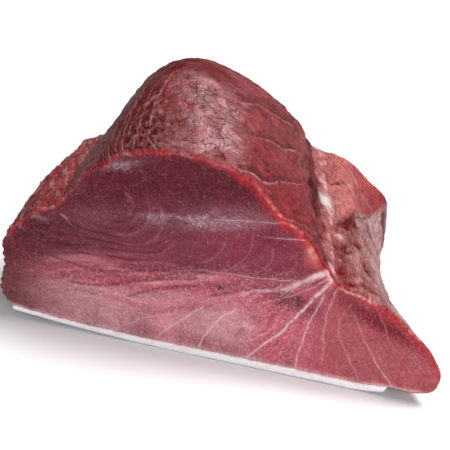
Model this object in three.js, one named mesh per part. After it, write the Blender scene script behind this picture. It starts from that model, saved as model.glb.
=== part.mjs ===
import * as THREE from 'three';

// A block cut from a bluefin tuna loin, lying skin side down. It is one thick piece of red
// muscle on a band of white fat and skin. The front is a straight cut across the loin. The
// upper faces are the natural outside of the muscle: a low shoulder on the left, a high
// rounded hump, a valley beside the horizontal septum, and a thinner lobe that runs out to
// a tip on the right. Millimetres, +Z up, X along the front cut, Y away from it.

// Driving dimensions. X starts at the right end of the skin and Z at the board.
const DEPTH = 210; // front cut to back cut, at X = 0
const BACK_SKEW = 0.243; // growth of that depth with X: the back cut isn't square
const SWEEP_POWER = 0.9; // the flank behind the tip sweeps in as a quarter sine to this power
const EDGE_BEVEL = 1.5; // the edge of the front cut is rubbed down by this much
const HEEL_X = -305;
const REST_FROM = 7 / 18; // the skin lies flat on the board between these two shares of the
const REST_TO = 15 / 18; // way across it, from the heel to its right end
const CURL_LEFT = 6.3; // lift of the skin at the heel
const CURL_RIGHT = 4.2; // lift of the skin at its right end
const SKIN_THICKNESS = 1.2;
const FAT_ENDS = 3.8; // thickness of the fat and skin far from the thickest place
const FAT_SWELL = 3.2; // extra thickness at the thickest place
const FAT_MIDDLE = 0.7; // its place and its reach, as shares of the way across
const FAT_REACH = 0.56;
const SEAM_GAP = 0.3; // left between the flesh, the fat and the skin
const CREVICE_DEPTH = 5; // the groove that follows the valley
const SEPTUM_RISE = 2; // the tough pale band along the notch, beside that groove
const GROOVE_REACH = 7;
const GROOVE_START = 20; // both fade in over this much behind the front cut
const FACET_RISE = 1.6; // the raised slab on the back half of the lobe
const FACET_EDGE = 8; // width of its sloping front edge
const FACET_START = 0.5; // share of the depth where it starts, beside the valley

// Fineness of the surface.
const POINT_SPACING = 7.5;
const BOTTOM_COLUMNS = 18;
const DEPTH_STEPS = 22;

// One row for each landmark of the section, from the heel over the top to the right end of
// the skin: its place in the front cut and in the back cut, its outward swell half way
// between them, how closely it follows the inward sweep of the flank behind the tip, and
// the rounding of its back edge. A corner ends one smooth run and starts the next. The
// first and last rows lie on the fat, at fatShare of the way across it, so their heights
// are measured from it.
const LANDMARKS = [
  { name: 'heel', front: [HEEL_X, 0], back: [-306, 0], round: 1, corner: true, fatShare: 0 },
  { name: 'heel bulge', front: [-315, 26], back: [-318, 34], round: 5 },
  { name: 'heel waist', front: [-310, 47], back: [-316, 58], round: 7 },
  { name: 'heel top', front: [-311, 65], back: [-313, 82], swell: [-3, 8], round: 7, corner: true },
  { name: 'shoulder', front: [-281, 97], back: [-302, 106], swell: [-4, 4], round: 6 },
  { name: 'hump foot', front: [-253, 104], back: [-289, 111], swell: [-2, 3], round: 5, corner: true },
  { name: 'hump left', front: [-230, 132], back: [-272, 138], swell: [0, 3], round: 10 },
  { name: 'hump rise', front: [-200, 149.5], back: [-249, 168], swell: [0, 9], round: 14 },
  { name: 'hump top', front: [-148, 158], back: [-208, 182], swell: [0, 12], round: 14 },
  { name: 'hump fall', front: [-108, 148], back: [-166, 164], swell: [0, 8], round: 14 },
  { name: 'hump right', front: [-80, 123], back: [-134, 135], swell: [0, 4], round: 8 },
  { name: 'valley', front: [-52, 95], back: [-121, 112], round: 4, corner: true },
  { name: 'notch', front: [-38, 75], back: [-107, 106], round: 3, corner: true },
  { name: 'lobe top', front: [-12, 72], back: [-92, 99.8], sweep: 0.2, round: 4 },
  { name: 'lobe middle', front: [14, 56], back: [-74, 80], swell: [-5, 0], sweep: 0.8, round: 4 },
  { name: 'lobe edge', front: [32, 38], back: [-55, 58], swell: [-16, 0], sweep: 1, round: 2 },
  { name: 'tip', front: [37, 25], back: [-60, 34], swell: [2, 0], sweep: 1, round: 2 },
  { name: 'under tip', front: [34, 11], back: [-66, 12], swell: [6, 0], sweep: 1, round: 2 },
  { name: 'lip', front: [12, 9], back: [-78, 8], sweep: 1 },
  { name: 'skin end', front: [0, 0], back: [-88, 0], sweep: 1, corner: true, fatShare: 1 },
];

// Height of the underside of the skin at a share of the way across it, 0 at the heel and 1
// at the right end: flat in the middle, curling up towards both ends.
function skinHeight(across) {
  const left = Math.max(0, (REST_FROM - across) / REST_FROM);
  const right = Math.max(0, (across - REST_TO) / (1 - REST_TO));
  return (CURL_LEFT * left * (1 + left) + CURL_RIGHT * right * (1 + right)) / 2;
}

// Height of the white fat's upper face.
function fatHeight(across) {
  const swell = Math.exp(-(((across - FAT_MIDDLE) / FAT_REACH) ** 2));
  return skinHeight(across) + FAT_ENDS + FAT_SWELL * swell;
}

function depthAt(x) {
  return DEPTH + BACK_SKEW * x;
}

// Where a landmark lies at a share of the depth, 0 at the front cut and 1 at the back.
function landmarkAt(row, share) {
  const [swellX, swellZ] = row.swell ?? [0, 0];
  const halfway = Math.sin(Math.PI * share);
  const swept = Math.sin((Math.PI / 2) * share) ** SWEEP_POWER;
  const across = THREE.MathUtils.lerp(share, swept, row.sweep ?? 0);
  const x = THREE.MathUtils.lerp(row.front[0], row.back[0], across) + swellX * halfway;
  const z = THREE.MathUtils.lerp(row.front[1], row.back[1], share) + swellZ * halfway;
  const base = row.fatShare === undefined ? 0 : fatHeight(row.fatShare) + SEAM_GAP;
  return new THREE.Vector2(x, z + base);
}

// The smooth runs between corners. Each has its rows, the distance of each row along the
// run in the front cut, and the distances of the points that are taken from it.
const runs = [];
for (let first = 0; first < LANDMARKS.length - 1; first += runs.at(-1).rows.length - 1) {
  const last = LANDMARKS.findIndex((row, place) => place > first && row.corner);
  const rows = LANDMARKS.slice(first, last + 1);
  const marks = [0];
  rows.slice(1).forEach((row, place) => {
    marks.push(marks[place] + landmarkAt(row, 0).distanceTo(landmarkAt(rows[place], 0)));
  });
  const count = Math.max(2, Math.round(marks.at(-1) / POINT_SPACING));
  const stops = Array.from({ length: count + 1 }, (_, place) => (marks.at(-1) * place) / count);
  runs.push({ rows, marks, stops });
}

// A cubic through given values at given marks, with each slope the weighted mean of its
// neighbours' slopes.
function smoothValue(marks, values, at) {
  const last = marks.length - 1;
  const chord = (i) => (values[i + 1] - values[i]) / (marks[i + 1] - marks[i]);
  const slope = (i) => {
    if (last === 1) return chord(0);
    if (i === 0) return 1.5 * chord(0) - 0.5 * slope(1);
    if (i === last) return 1.5 * chord(last - 1) - 0.5 * slope(last - 1);
    const weight = (marks[i + 1] - marks[i]) / (marks[i + 1] - marks[i - 1]);
    return chord(i - 1) * weight + chord(i) * (1 - weight);
  };
  let i = 0;
  while (i < last - 1 && at > marks[i + 1]) i += 1;
  const span = marks[i + 1] - marks[i];
  const s = (at - marks[i]) / span;
  return (
    values[i] * (2 * s ** 3 - 3 * s ** 2 + 1) +
    slope(i) * span * (s ** 3 - 2 * s ** 2 + s) +
    values[i + 1] * (3 * s ** 2 - 2 * s ** 3) +
    slope(i + 1) * span * (s ** 3 - s ** 2)
  );
}

// How far a point of the upper outline stands in or out of its smooth run. The crevice is
// cut along the valley, the septum stands up along the notch, and the facet is raised on
// the lobe's back half.
function reliefAt(run, stop, share) {
  const { smoothstep, lerp, clamp } = THREE.MathUtils;
  const names = run.rows.map((row) => row.name);
  const length = run.marks.at(-1);
  const started = smoothstep(share * DEPTH, 0, GROOVE_START);
  if (names.at(-1) === 'valley') {
    return -started * CREVICE_DEPTH * Math.exp(-(((length - stop) / GROOVE_REACH) ** 2));
  }
  if (names[0] === 'valley') {
    return started * lerp(-CREVICE_DEPTH, SEPTUM_RISE, stop / length);
  }
  if (names[0] === 'notch') {
    const edge = run.marks[names.indexOf('lobe edge')];
    const start = lerp(FACET_START, 1, clamp(stop / edge, 0, 1));
    const behind = (share - start) * DEPTH;
    const facet = smoothstep(behind, 0, FACET_EDGE) * smoothstep(edge - stop, 0, FACET_EDGE);
    const septum = Math.exp(-((stop / GROOVE_REACH) ** 2));
    return FACET_RISE * facet * (1 - septum) + started * SEPTUM_RISE * septum;
  }
  return 0;
}

// One section of the flesh: the outline from the heel over the top to the skin's end, then
// back along the fat. The upper outline shrinks at the bevelled front edge and at the
// rounded back edge.
function fleshRing(share) {
  const outline = [];
  for (const run of runs) {
    const places = run.rows.map((row) => landmarkAt(row, share));
    const xs = places.map((place) => place.x);
    const zs = places.map((place) => place.y);
    const rounds = run.rows.map((row) => row.round ?? 0);
    for (const stop of run === runs[0] ? run.stops : run.stops.slice(1)) {
      outline.push({
        x: smoothValue(run.marks, xs, stop),
        z: smoothValue(run.marks, zs, stop),
        round: Math.max(0, smoothValue(run.marks, rounds, stop)),
        relief: reliefAt(run, stop, share),
      });
    }
  }
  const ring = outline.map((point, place) => {
    const before = outline[Math.max(0, place - 1)];
    const after = outline[Math.min(outline.length - 1, place + 1)];
    const outward = new THREE.Vector2(before.z - after.z, after.x - before.x).normalize();
    const behind = share * depthAt(point.x);
    const ahead = (1 - share) * depthAt(point.x);
    const onEnd = place === 0 || place === outline.length - 1;
    const bevel = onEnd ? 0 : Math.max(0, EDGE_BEVEL - behind);
    const reach = Math.max(0, point.round - ahead);
    const rounding = point.round - Math.sqrt(point.round ** 2 - reach ** 2);
    const offset = point.relief * (onEnd ? 0 : 1) - bevel - rounding;
    const x = point.x + outward.x * offset;
    return new THREE.Vector3(x, share * depthAt(x), point.z + outward.y * offset);
  });
  const from = ring.at(-1).x;
  const to = ring[0].x;
  for (let column = 1; column < BOTTOM_COLUMNS; column += 1) {
    const across = 1 - column / BOTTOM_COLUMNS;
    const x = THREE.MathUtils.lerp(to, from, across);
    ring.push(new THREE.Vector3(x, share * depthAt(x), fatHeight(across) + SEAM_GAP));
  }
  return ring;
}

// One section of a layer under the flesh, between two heights: left to right along its top,
// then back along its underside.
function layerRing(share, topHeight, underHeight) {
  const left = landmarkAt(LANDMARKS[0], share).x;
  const right = landmarkAt(LANDMARKS.at(-1), share).x;
  const steps = Array.from({ length: BOTTOM_COLUMNS + 1 }, (_, column) => column / BOTTOM_COLUMNS);
  const pointAt = (across, height) => {
    const x = THREE.MathUtils.lerp(left, right, across);
    return new THREE.Vector3(x, share * depthAt(x), height(across));
  };
  const top = steps.map((across) => pointAt(across, topHeight));
  const under = steps.reverse().map((across) => pointAt(across, underHeight));
  return [...top, ...under];
}

// Joins a stack of rings into one closed body, with a flat cap on the first and the last.
function bodyThrough(rings) {
  const size = rings[0].length;
  const triangles = [];
  for (let level = 0; level < rings.length - 1; level += 1) {
    for (let place = 0; place < size; place += 1) {
      const a = level * size + place;
      const b = level * size + ((place + 1) % size);
      triangles.push(a, b, b + size, a, b + size, a + size);
    }
  }
  const addCap = (level, facesFront) => {
    const contour = rings[level].map((point) => new THREE.Vector2(point.x, point.z));
    for (const [a, b, c] of THREE.ShapeUtils.triangulateShape(contour, [])) {
      const isFront = THREE.ShapeUtils.area([contour[a], contour[b], contour[c]]) > 0;
      const [second, third] = isFront === facesFront ? [b, c] : [c, b];
      triangles.push(level * size + a, level * size + second, level * size + third);
    }
  };
  addCap(0, true);
  addCap(rings.length - 1, false);
  const geometry = new THREE.BufferGeometry().setFromPoints(rings.flat());
  geometry.setIndex(triangles);
  geometry.computeVertexNormals();
  return geometry;
}

// Sections lie close together at the bevelled front and the rounded back.
const shares = [0, EDGE_BEVEL / DEPTH];
for (let step = 1; step <= DEPTH_STEPS; step += 1) {
  const even = step / DEPTH_STEPS;
  shares.push(THREE.MathUtils.lerp(even, Math.sin((Math.PI / 2) * even), 0.55));
}

const fleshFinish = new THREE.MeshStandardMaterial({ color: 0x9a4f58, roughness: 0.45, metalness: 0 });
const flesh = new THREE.Mesh(bodyThrough(shares.map(fleshRing)), fleshFinish);
flesh.name = 'loin_flesh';

const fatUnderside = (across) => skinHeight(across) + SKIN_THICKNESS + SEAM_GAP;
const fatRings = shares.map((share) => layerRing(share, fatHeight, fatUnderside));
const fatFinish = new THREE.MeshStandardMaterial({ color: 0xe6d6d6, roughness: 0.4, metalness: 0 });
const fat = new THREE.Mesh(bodyThrough(fatRings), fatFinish);
fat.name = 'fat_layer';

const skinTop = (across) => skinHeight(across) + SKIN_THICKNESS;
const skinRings = shares.map((share) => layerRing(share, skinTop, skinHeight));
const skinFinish = new THREE.MeshStandardMaterial({ color: 0x8f939c, roughness: 0.3, metalness: 0 });
const skin = new THREE.Mesh(bodyThrough(skinRings), skinFinish);
skin.name = 'silver_skin';

// The block's own origin is under its middle, on the board.
const loinBlock = new THREE.Group();
loinBlock.add(flesh, fat, skin);
const extent = new THREE.Box3().setFromObject(loinBlock);
const middle = extent.getCenter(new THREE.Vector3());
loinBlock.position.set(-middle.x, -middle.y, -extent.min.z);

export default loinBlock;
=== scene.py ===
import math

import bpy
import numpy as np
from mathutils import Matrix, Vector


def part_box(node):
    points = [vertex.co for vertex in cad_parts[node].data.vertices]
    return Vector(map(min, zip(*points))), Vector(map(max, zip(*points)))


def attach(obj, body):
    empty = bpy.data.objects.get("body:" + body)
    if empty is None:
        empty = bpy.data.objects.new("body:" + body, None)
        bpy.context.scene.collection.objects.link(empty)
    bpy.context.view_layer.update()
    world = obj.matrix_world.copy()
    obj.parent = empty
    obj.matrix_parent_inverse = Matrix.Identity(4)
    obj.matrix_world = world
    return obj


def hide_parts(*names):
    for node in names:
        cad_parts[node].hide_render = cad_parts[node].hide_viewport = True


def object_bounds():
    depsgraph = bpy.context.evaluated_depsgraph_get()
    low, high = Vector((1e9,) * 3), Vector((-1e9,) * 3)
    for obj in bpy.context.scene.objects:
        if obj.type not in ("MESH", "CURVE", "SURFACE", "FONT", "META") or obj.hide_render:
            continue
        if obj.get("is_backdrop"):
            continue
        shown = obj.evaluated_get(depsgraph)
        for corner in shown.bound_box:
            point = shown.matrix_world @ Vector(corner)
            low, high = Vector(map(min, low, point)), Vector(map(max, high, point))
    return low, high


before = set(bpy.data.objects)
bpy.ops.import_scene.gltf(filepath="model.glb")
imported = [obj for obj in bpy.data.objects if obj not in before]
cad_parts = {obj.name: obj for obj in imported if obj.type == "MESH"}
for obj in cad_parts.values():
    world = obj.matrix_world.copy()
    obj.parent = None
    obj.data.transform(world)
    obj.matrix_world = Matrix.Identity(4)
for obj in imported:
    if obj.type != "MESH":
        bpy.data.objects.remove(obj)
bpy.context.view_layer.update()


# ---------------------------------------------------------------------------------------------
# The muscle: one thick block of raw red loin, cut straight across at the front and at the
# back with a long knife. Between the cuts its outside is the natural one, with torn fibres on
# the shoulder, a membrane over the hump, and a tough white septum where the lobe begins.
# ---------------------------------------------------------------------------------------------

MM = 0.001
skin_low, skin_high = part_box("silver_skin")
SKIN_END = np.array([skin_high.x, skin_low.y, 0.0])  # right end of the skin, on the front cut

# Driving sizes in millimetres. X starts at the skin's right end and is negative to the left.
DEPTH = 210
BACK_SKEW = 0.243
FRONT_ROUND = 1.2
REST_FROM = 7 / 18  # the skin lies flat between these two shares of the way across
REST_TO = 16.5 / 18
CURL_LEFT = 6.3
CURL_RIGHT = 2.6
SKIN_THICKNESS = 0.4
FAT_ENDS = 3.6
FAT_SWELL = 3.2
FAT_MIDDLE = 0.7
FAT_REACH = 0.56

# Landmarks of the outline, from the heel over the top to the right end of the skin: x and z
# in the front cut, x and z in the back cut, the swell of x and z half way between them, how
# closely it follows the sweep of the flank, the rounding of its back edge, and whether one
# smooth run ends there and the next begins. The first and the last lie on the fat.
LANDMARKS = {
    "heel": (-305, 0, -306, 0, 0, 0, 0, 1, True),
    "heel bulge": (-315, 26, -318, 34, 0, 0, 0, 5, False),
    "heel waist": (-310, 47, -316, 58, 0, 0, 0, 7, False),
    "heel top": (-311, 65, -313, 82, -3, 8, 0, 7, True),
    "shoulder": (-281, 97, -302, 106, -4, 4, 0, 6, False),
    "hump foot": (-256, 108, -289, 111, -2, 3, 0, 5, True),
    "hump left": (-231.5, 134, -272, 138, 0, 3, 0, 10, False),
    "hump rise": (-201, 153, -249, 168, 0, 9, 0, 14, False),
    "hump top": (-146, 160, -208, 182, 0, 11, 0, 14, False),
    "hump fall": (-106, 150, -166, 164, 0, 7, 0, 14, False),
    "hump right": (-80, 124, -134, 135, 0, 4, 0, 8, False),
    "hump corner": (-64, 113.5, -127, 124, 0, 2, 0, 6, False),
    "valley": (-49, 93, -121, 110.5, 0, 0, 0, 4, True),
    "notch": (-39, 80.5, -107, 104, 0, 0, 0, 3, True),
    "lobe top": (-13, 74, -92, 99, 0, 0, 0.2, 4, False),
    "lobe middle": (13, 57, -73.8, 81.8, -5, 0, 0.8, 4, False),
    "lobe edge": (31, 39, -57.5, 60, -12.5, 0, 1, 2, False),
    "tip": (37, 25, -57, 34, 2, 0, 1, 2, False),
    "under tip": (34, 12.8, -60, 13, 9, 0, 1, 2, False),
    "lip": (12, 6.6, -78, 7, 0, 0, 1, 1, False),
    "skin end": (0, 0, -88, 0, 0, 0, 1, 1, True),
}
SIDE_STEPS = 60  # points up the heel, and as many from the tip down to the skin
TOP_STEPS = 300  # points from the top of the heel over the hump to the tip
DEPTH_STEPS = 125
UNDER_STEPS = 25  # points across the hidden underside; the cuts have TOP_STEPS there

names = list(LANDMARKS)
marked = np.array([row[:8] for row in LANDMARKS.values()], float)
chords = np.hypot(*np.diff(marked[:, 0:2], axis=0).T)
marks = np.concatenate([[0], np.cumsum(chords)])
mark_of = dict(zip(names, marks))


def ease(value, start, end):
    """0 before start and 1 after end, with a smooth 3s2 - 2s3 step in between."""
    s = np.clip((value - start) / (end - start), 0, 1)
    return s * s * (3 - 2 * s)


def bell(distance, reach):
    """The bell curve exp(-(distance / reach)^2)."""
    return np.exp(-((distance / reach) ** 2))


NOISE_REPEAT = 256  # units before the noise comes again
CELLS_REPEAT = 128


def lattice_noise(across, along, seed):
    """Random heights from -1 to 1 at whole coordinates, eased between each four of them."""
    heights = np.random.default_rng(seed).uniform(-1, 1, (NOISE_REPEAT, NOISE_REPEAT))
    i = np.floor(across).astype(int)
    j = np.floor(along).astype(int)
    s = across - i
    t = along - j
    s = s * s * (3 - 2 * s)
    t = t * t * (3 - 2 * t)
    i, next_i = i % NOISE_REPEAT, (i + 1) % NOISE_REPEAT
    j, next_j = j % NOISE_REPEAT, (j + 1) % NOISE_REPEAT
    low = heights[i, j] * (1 - s) + heights[next_i, j] * s
    high = heights[i, next_j] * (1 - s) + heights[next_i, next_j] * s
    return low * (1 - t) + high * t


def rough_noise(across, along, seed, octaves=3):
    """Lattice noise with finer and weaker copies of itself added, each half the size."""
    total = 0
    for octave in range(octaves):
        scale = 2**octave
        total = total + lattice_noise(across * scale, along * scale, seed + octave) / scale
    return total / 1.6


def cell_edges(across, along, seed):
    """Distance from the nearest border of a net of cells with one random centre per unit."""
    jitter = np.random.default_rng(seed).uniform(0.1, 0.9, (CELLS_REPEAT, CELLS_REPEAT, 2))
    i = np.floor(across).astype(int)
    j = np.floor(along).astype(int)
    nearest = np.full(across.shape, 9.0)
    second = np.full(across.shape, 9.0)
    for di in (-1, 0, 1):
        for dj in (-1, 0, 1):
            centre = jitter[(i + di) % CELLS_REPEAT, (j + dj) % CELLS_REPEAT]
            apart = np.hypot(i + di + centre[..., 0] - across, j + dj + centre[..., 1] - along)
            second = np.minimum(second, np.maximum(nearest, apart))
            nearest = np.minimum(nearest, apart)
    return second - nearest


def skin_height(across):
    """Underside of the skin at a share of the way across: flat in the middle, and rising by
    curl * t (1 + t) / 2 towards both ends, where t is the share of the end's own stretch."""
    left = np.maximum(0, (REST_FROM - across) / REST_FROM)
    right = np.maximum(0, (across - REST_TO) / (1 - REST_TO))
    return (CURL_LEFT * left * (1 + left) + CURL_RIGHT * right * (1 + right)) / 2


def fat_height(across, x, y):
    """Top of the fat: the skin's height, a thickness that swells as a bell, and low waves."""
    waves = 0.5 * rough_noise(x / 17, y / 23, 11) + 0.5 * rough_noise(x / 3.2, y / 4.5, 13, 2)
    return skin_height(across) + FAT_ENDS + FAT_SWELL * bell(across - FAT_MIDDLE, FAT_REACH) + waves


def depth_at(x):
    """Depth of the block from the front cut to the back cut, which isn't square to it."""
    return DEPTH + BACK_SKEW * x


def smooth_run(run_marks, values, stops):
    """A cubic through values at the marks. Each slope is the weighted mean of the chords."""
    spans = np.diff(run_marks)
    chord = np.diff(values, axis=1) / spans
    slopes = np.empty_like(values)
    weight = spans[1:] / (spans[1:] + spans[:-1])
    slopes[:, 1:-1] = chord[:, :-1] * weight + chord[:, 1:] * (1 - weight)
    straight = len(run_marks) == 2
    slopes[:, 0] = chord[:, 0] if straight else 1.5 * chord[:, 0] - 0.5 * slopes[:, 1]
    slopes[:, -1] = chord[:, -1] if straight else 1.5 * chord[:, -1] - 0.5 * slopes[:, -2]
    k = np.clip(np.searchsorted(run_marks, stops, side="right") - 1, 0, len(spans) - 1)
    s = (stops - run_marks[k]) / spans[k]
    return (
        values[:, k] * (2 * s**3 - 3 * s**2 + 1)
        + slopes[:, k] * spans[k] * (s**3 - 2 * s**2 + s)
        + values[:, k + 1] * (3 * s**2 - 2 * s**3)
        + slopes[:, k + 1] * spans[k] * (s**3 - s**2)
    )


def outline_surface(share, stops):
    """Smooth outline at each share of the depth: x and z run from the front landmark to the
    back one, plus a swell that goes as sin(pi share). The flank's x goes as a sine instead."""
    share = share[:, None]
    front_x, front_z, back_x, back_z, swell_x, swell_z, sweep, rounding = marked.T
    swept = np.sin(np.pi / 2 * share) ** 0.9
    across = share + (swept - share) * sweep
    half_way = np.sin(np.pi * share)
    x = front_x + (back_x - front_x) * across + swell_x * half_way
    z = front_z + (back_z - front_z) * share + swell_z * half_way
    y = share * depth_at(x)
    z[:, 0] += fat_height(0.0, x[:, 0], y[:, 0])
    z[:, -1] += fat_height(1.0, x[:, -1], y[:, -1])
    rounding = np.broadcast_to(rounding, x.shape)
    corners = [place for place, row in enumerate(LANDMARKS.values()) if row[8]]
    found = np.zeros((3, len(share), len(stops)))
    for first, last in zip(corners[:-1], corners[1:]):
        inside = (stops >= marks[first]) & (stops <= marks[last])
        for place, values in enumerate((x, z, rounding)):
            run = smooth_run(marks[first:last + 1], values[:, first:last + 1], stops[inside])
            found[place][:, inside] = run
    return found


stops = np.concatenate([
    np.linspace(0, mark_of["heel top"], SIDE_STEPS + 1),
    np.linspace(mark_of["heel top"], mark_of["tip"], TOP_STEPS + 1)[1:],
    np.linspace(mark_of["tip"], marks[-1], SIDE_STEPS + 1)[1:],
])
even = np.linspace(0, 1, DEPTH_STEPS + 1)
share = even - 0.35 * np.sin(2 * np.pi * even) / (2 * np.pi)
out_x, out_z, back_round = outline_surface(share, stops)
out_y = share[:, None] * depth_at(out_x)
girth = np.concatenate([[0], np.cumsum(np.hypot(np.diff(out_x[0]), np.diff(out_z[0])))])
girth = np.broadcast_to(girth, out_x.shape)  # distance round the front cut's outline
girth_of = {name: np.interp(mark_of[name], stops, girth[0]) for name in names}
behind = out_y
ahead = depth_at(out_x) - out_y

# Strands: thin pale lines of connective tissue. Each has its points, its width and strength
# at the start, and its width and strength at the end.
STRAND_STEP = 1.0


def strand_field(across, along, strands, reach):
    """Signed distance to the nearest strand's line, its width there, and its strength, which
    fades past the strand's ends, at the reach and half way to the next strand. A strand is a
    cubic through its points."""
    offset = np.full(across.shape, float(reach))
    nearest_way = np.full(across.shape, float(reach))
    next_way = np.full(across.shape, float(reach))
    width = np.ones(across.shape)
    strength = np.zeros(across.shape)
    for points, start, end in strands:
        points = np.array(points, float)
        way = np.concatenate([[0], np.cumsum(np.hypot(*np.diff(points, axis=0).T))])
        fine_way = np.linspace(0, way[-1], max(3, int(way[-1] / STRAND_STEP)))
        fine = smooth_run(way, points.T, fine_way).T
        lean = np.gradient(fine, axis=0)
        lean /= np.linalg.norm(lean, axis=1, keepdims=True)
        close = np.nonzero(
            (across > fine[:, 0].min() - reach) & (across < fine[:, 0].max() + reach)
            & (along > fine[:, 1].min() - reach) & (along < fine[:, 1].max() + reach)
        )
        a = across[close][:, None] - fine[:, 0]
        b = along[close][:, None] - fine[:, 1]
        nearest = np.argmin(a * a + b * b, axis=1)
        a, b = a[np.arange(len(nearest)), nearest], b[np.arange(len(nearest)), nearest]
        side = lean[nearest, 0] * b - lean[nearest, 1] * a
        past_end = np.maximum(0, np.abs(lean[nearest, 0] * a + lean[nearest, 1] * b) - STRAND_STEP)
        apart = np.hypot(side, past_end)
        closer = apart < nearest_way[close]
        next_way[close] = np.where(closer, nearest_way[close], np.minimum(next_way[close], apart))
        t = fine_way[nearest] / way[-1]
        fade = (1 - ease(apart, 0.45 * reach, 0.8 * reach)) * (1 - ease(past_end, 0, 2))
        places = tuple(index[closer] for index in close)
        nearest_way[places] = apart[closer]
        offset[places] = side[closer]
        width[places] = (start[0] + (end[0] - start[0]) * t)[closer]
        strength[places] = ((start[1] + (end[1] - start[1]) * t) * fade)[closer]
    return offset, width, strength * ease(next_way - nearest_way, 0.2, 1.6)


# Colours of the outside, as they look in the studio's light. The girth runs from the heel (0)
# over the shoulder (104), the hump's foot (133) and top (257), the valley (380) and the notch
# (397) to the lobe's edge (482) and the skin's end (542).
HEEL_BROWN = (126, 66, 68)
HEEL_PALE = (176, 112, 110)
HEEL_DARK = (92, 30, 38)
SHOULDER_RED = (168, 56, 62)
SHOULDER_GREY = (176, 122, 120)
THREAD_PINK = (196, 124, 122)
STRAND_PINK = (228, 178, 174)
FLANK_RED = (120, 6, 18)
FLANK_GREY = (138, 78, 80)
FLANK_BACK_RED = (120, 6, 16)
HOLLOW_SHADE = (72, 16, 22)
MOTTLE_DARK = (104, 22, 32)
MOTTLE_PALE = (214, 156, 154)
MEMBRANE_PINK = (216, 155, 158)
CRACK_BROWN = (84, 38, 44)
HUMP_RED = (164, 72, 76)
HUMP_DARK = (96, 34, 40)
HUMP_FRONT_RED = (146, 46, 54)
SEAM_PINK = (206, 136, 132)
SEAM_SHADE = (72, 22, 28)
FASCIA_GREY = (142, 64, 68)
CREVICE_RED = (84, 26, 32)
CREVICE_EDGE = (150, 34, 40)
GRISTLE_PINK = (204, 120, 118)
SEPTUM_PINK = (224, 146, 144)
SEPTUM_WHITE = (240, 202, 198)
SEPTUM_BRIGHT = (252, 236, 232)
FACET_PINK = (180, 78, 82)
FACET_BRIGHT = (240, 142, 138)
FACET_DARK = (146, 48, 54)
FRINGE_PINK = (226, 160, 156)
UNDER_FACET_SHADOW = (100, 26, 32)
SLIT_SHADE = (40, 14, 20)
WALL_BROWN = (172, 92, 93)
WALL_SHADE = (104, 34, 40)
WALL_SILVER = (186, 146, 146)
WALL_PALE = (226, 198, 194)
WALL_DARK = (112, 58, 64)
WALL_SMEAR = (206, 152, 150)
WALL_LUMP = (240, 204, 196)
WALL_HOLLOW_SHADE = (112, 12, 18)
WALL_BLOOD = (140, 40, 44)
TORN_PALE = (218, 168, 164)
TORN_DARK = (112, 34, 40)
PIT_RED = (138, 20, 20)
# Painted glow and glints along the front edge.
RIM_GLOW_RED = (178, 52, 58)
RIM_GLOW_DARK = (180, 60, 66)
RIM_PINK = (214, 128, 122)
RIM_GLINT = (232, 150, 142)


def linear(colour):
    """Light intensity of a colour given in the usual 0 to 255 screen values."""
    c = np.asarray(colour, float) / 255
    return np.where(c <= 0.04045, c / 12.92, ((c + 0.055) / 1.055) ** 2.4)


def painted(ground, layers):
    """A ground colour with layers of colour over it, each laid on the ones before it by an
    amount from 0 to 1 at each point."""
    tone = linear(ground)
    for colour, amount in layers:
        amount = np.clip(amount, 0, 1)[..., None]
        tone = tone * (1 - amount) + linear(colour) * amount
    return tone


def between(value, start, end, soft):
    """1 from start to end, falling smoothly to 0 over a soft stretch on either side."""
    return ease(value, start - soft, start + soft) * (1 - ease(value, end - soft, end + soft))


def outer_noise(girth_grain, depth_grain, seed, octaves=3):
    """Rough noise over the outside, with its grain in millimetres both ways."""
    return rough_noise(girth / girth_grain, behind / depth_grain, seed, octaves)


def outer_spot(centre_girth, centre_behind, reach_girth, reach_behind):
    """A soft oval spot on the outside, the product of two bell curves."""
    return bell(girth - centre_girth, reach_girth) * bell(behind - centre_behind, reach_behind)


# Zones of the outside, with ragged borders.
drift = outer_noise(13, 12, 29)
drift_too = outer_noise(12, 13, 43)
crevice_girth = np.interp(
    behind, [0, 21, 42, 54, 72, 86, 116, 200], [378, 378, 376, 374, 368, 364, 367, 364])
crevice_girth = crevice_girth + 3 * drift + 2 * outer_noise(6, 5, 47)
facet_start = np.interp(girth, [390, 412, 425, 445, 469, 476, 484], [72, 96, 107, 128, 149, 166, 190])
facet_start = facet_start + 4 * drift * (1 - ease(girth, 465, 480))
septum_girth = 388 + 3 * np.sin(behind / 38) + 3.5 * drift_too + 3 * outer_noise(5, 6, 45)
fascia_girth = np.interp(behind, [0, 36, 68, 97, 126, 200], [382, 373, 364, 354, 340, 320])

on_heel = 1 - ease(girth, 52, 66)
on_shoulder = between(girth, 63, 132, 8)
on_flank = ease(girth, 126, 140) * (1 - ease(girth + 10 * drift, 206, 236))
in_front = 1 - 0.75 * ease(behind + 14 * drift_too, 86, 112)
on_net = between(girth + 10 * drift, 237, 293, 13) * in_front
with_holes = between(girth + 5 * drift, 198, 242, 9) * (1 - ease(behind + 8 * drift_too, 26, 52))
on_layers = between(girth, 288, 378, 10)
by_crevice = bell(girth - crevice_girth, 4 + 1.5 * drift_too) * ease(behind, 14, 44)
on_fascia = between(girth - fascia_girth + 5 * drift, -12, 8, 6) * ease(behind, 8, 30)
past_notch = ease(girth + 4 * drift, 390, 402)
on_septum = bell(girth - septum_girth, 4.5 + 2 * drift) * ease(behind, -4, 10)
on_facet = past_notch * ease(behind - facet_start, -3, 4) * (1 - ease(girth, 474, 482))
on_wall = past_notch * (1 - on_facet)
on_silver = on_wall * ease(girth + 9 * drift_too, 410, 448)
on_gristle = between(girth + 6 * drift, 382, 410, 6) * (1 - 0.4 * on_facet)
on_gristle *= 0.3 + 0.7 * ease(behind, 58, 90)

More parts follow.
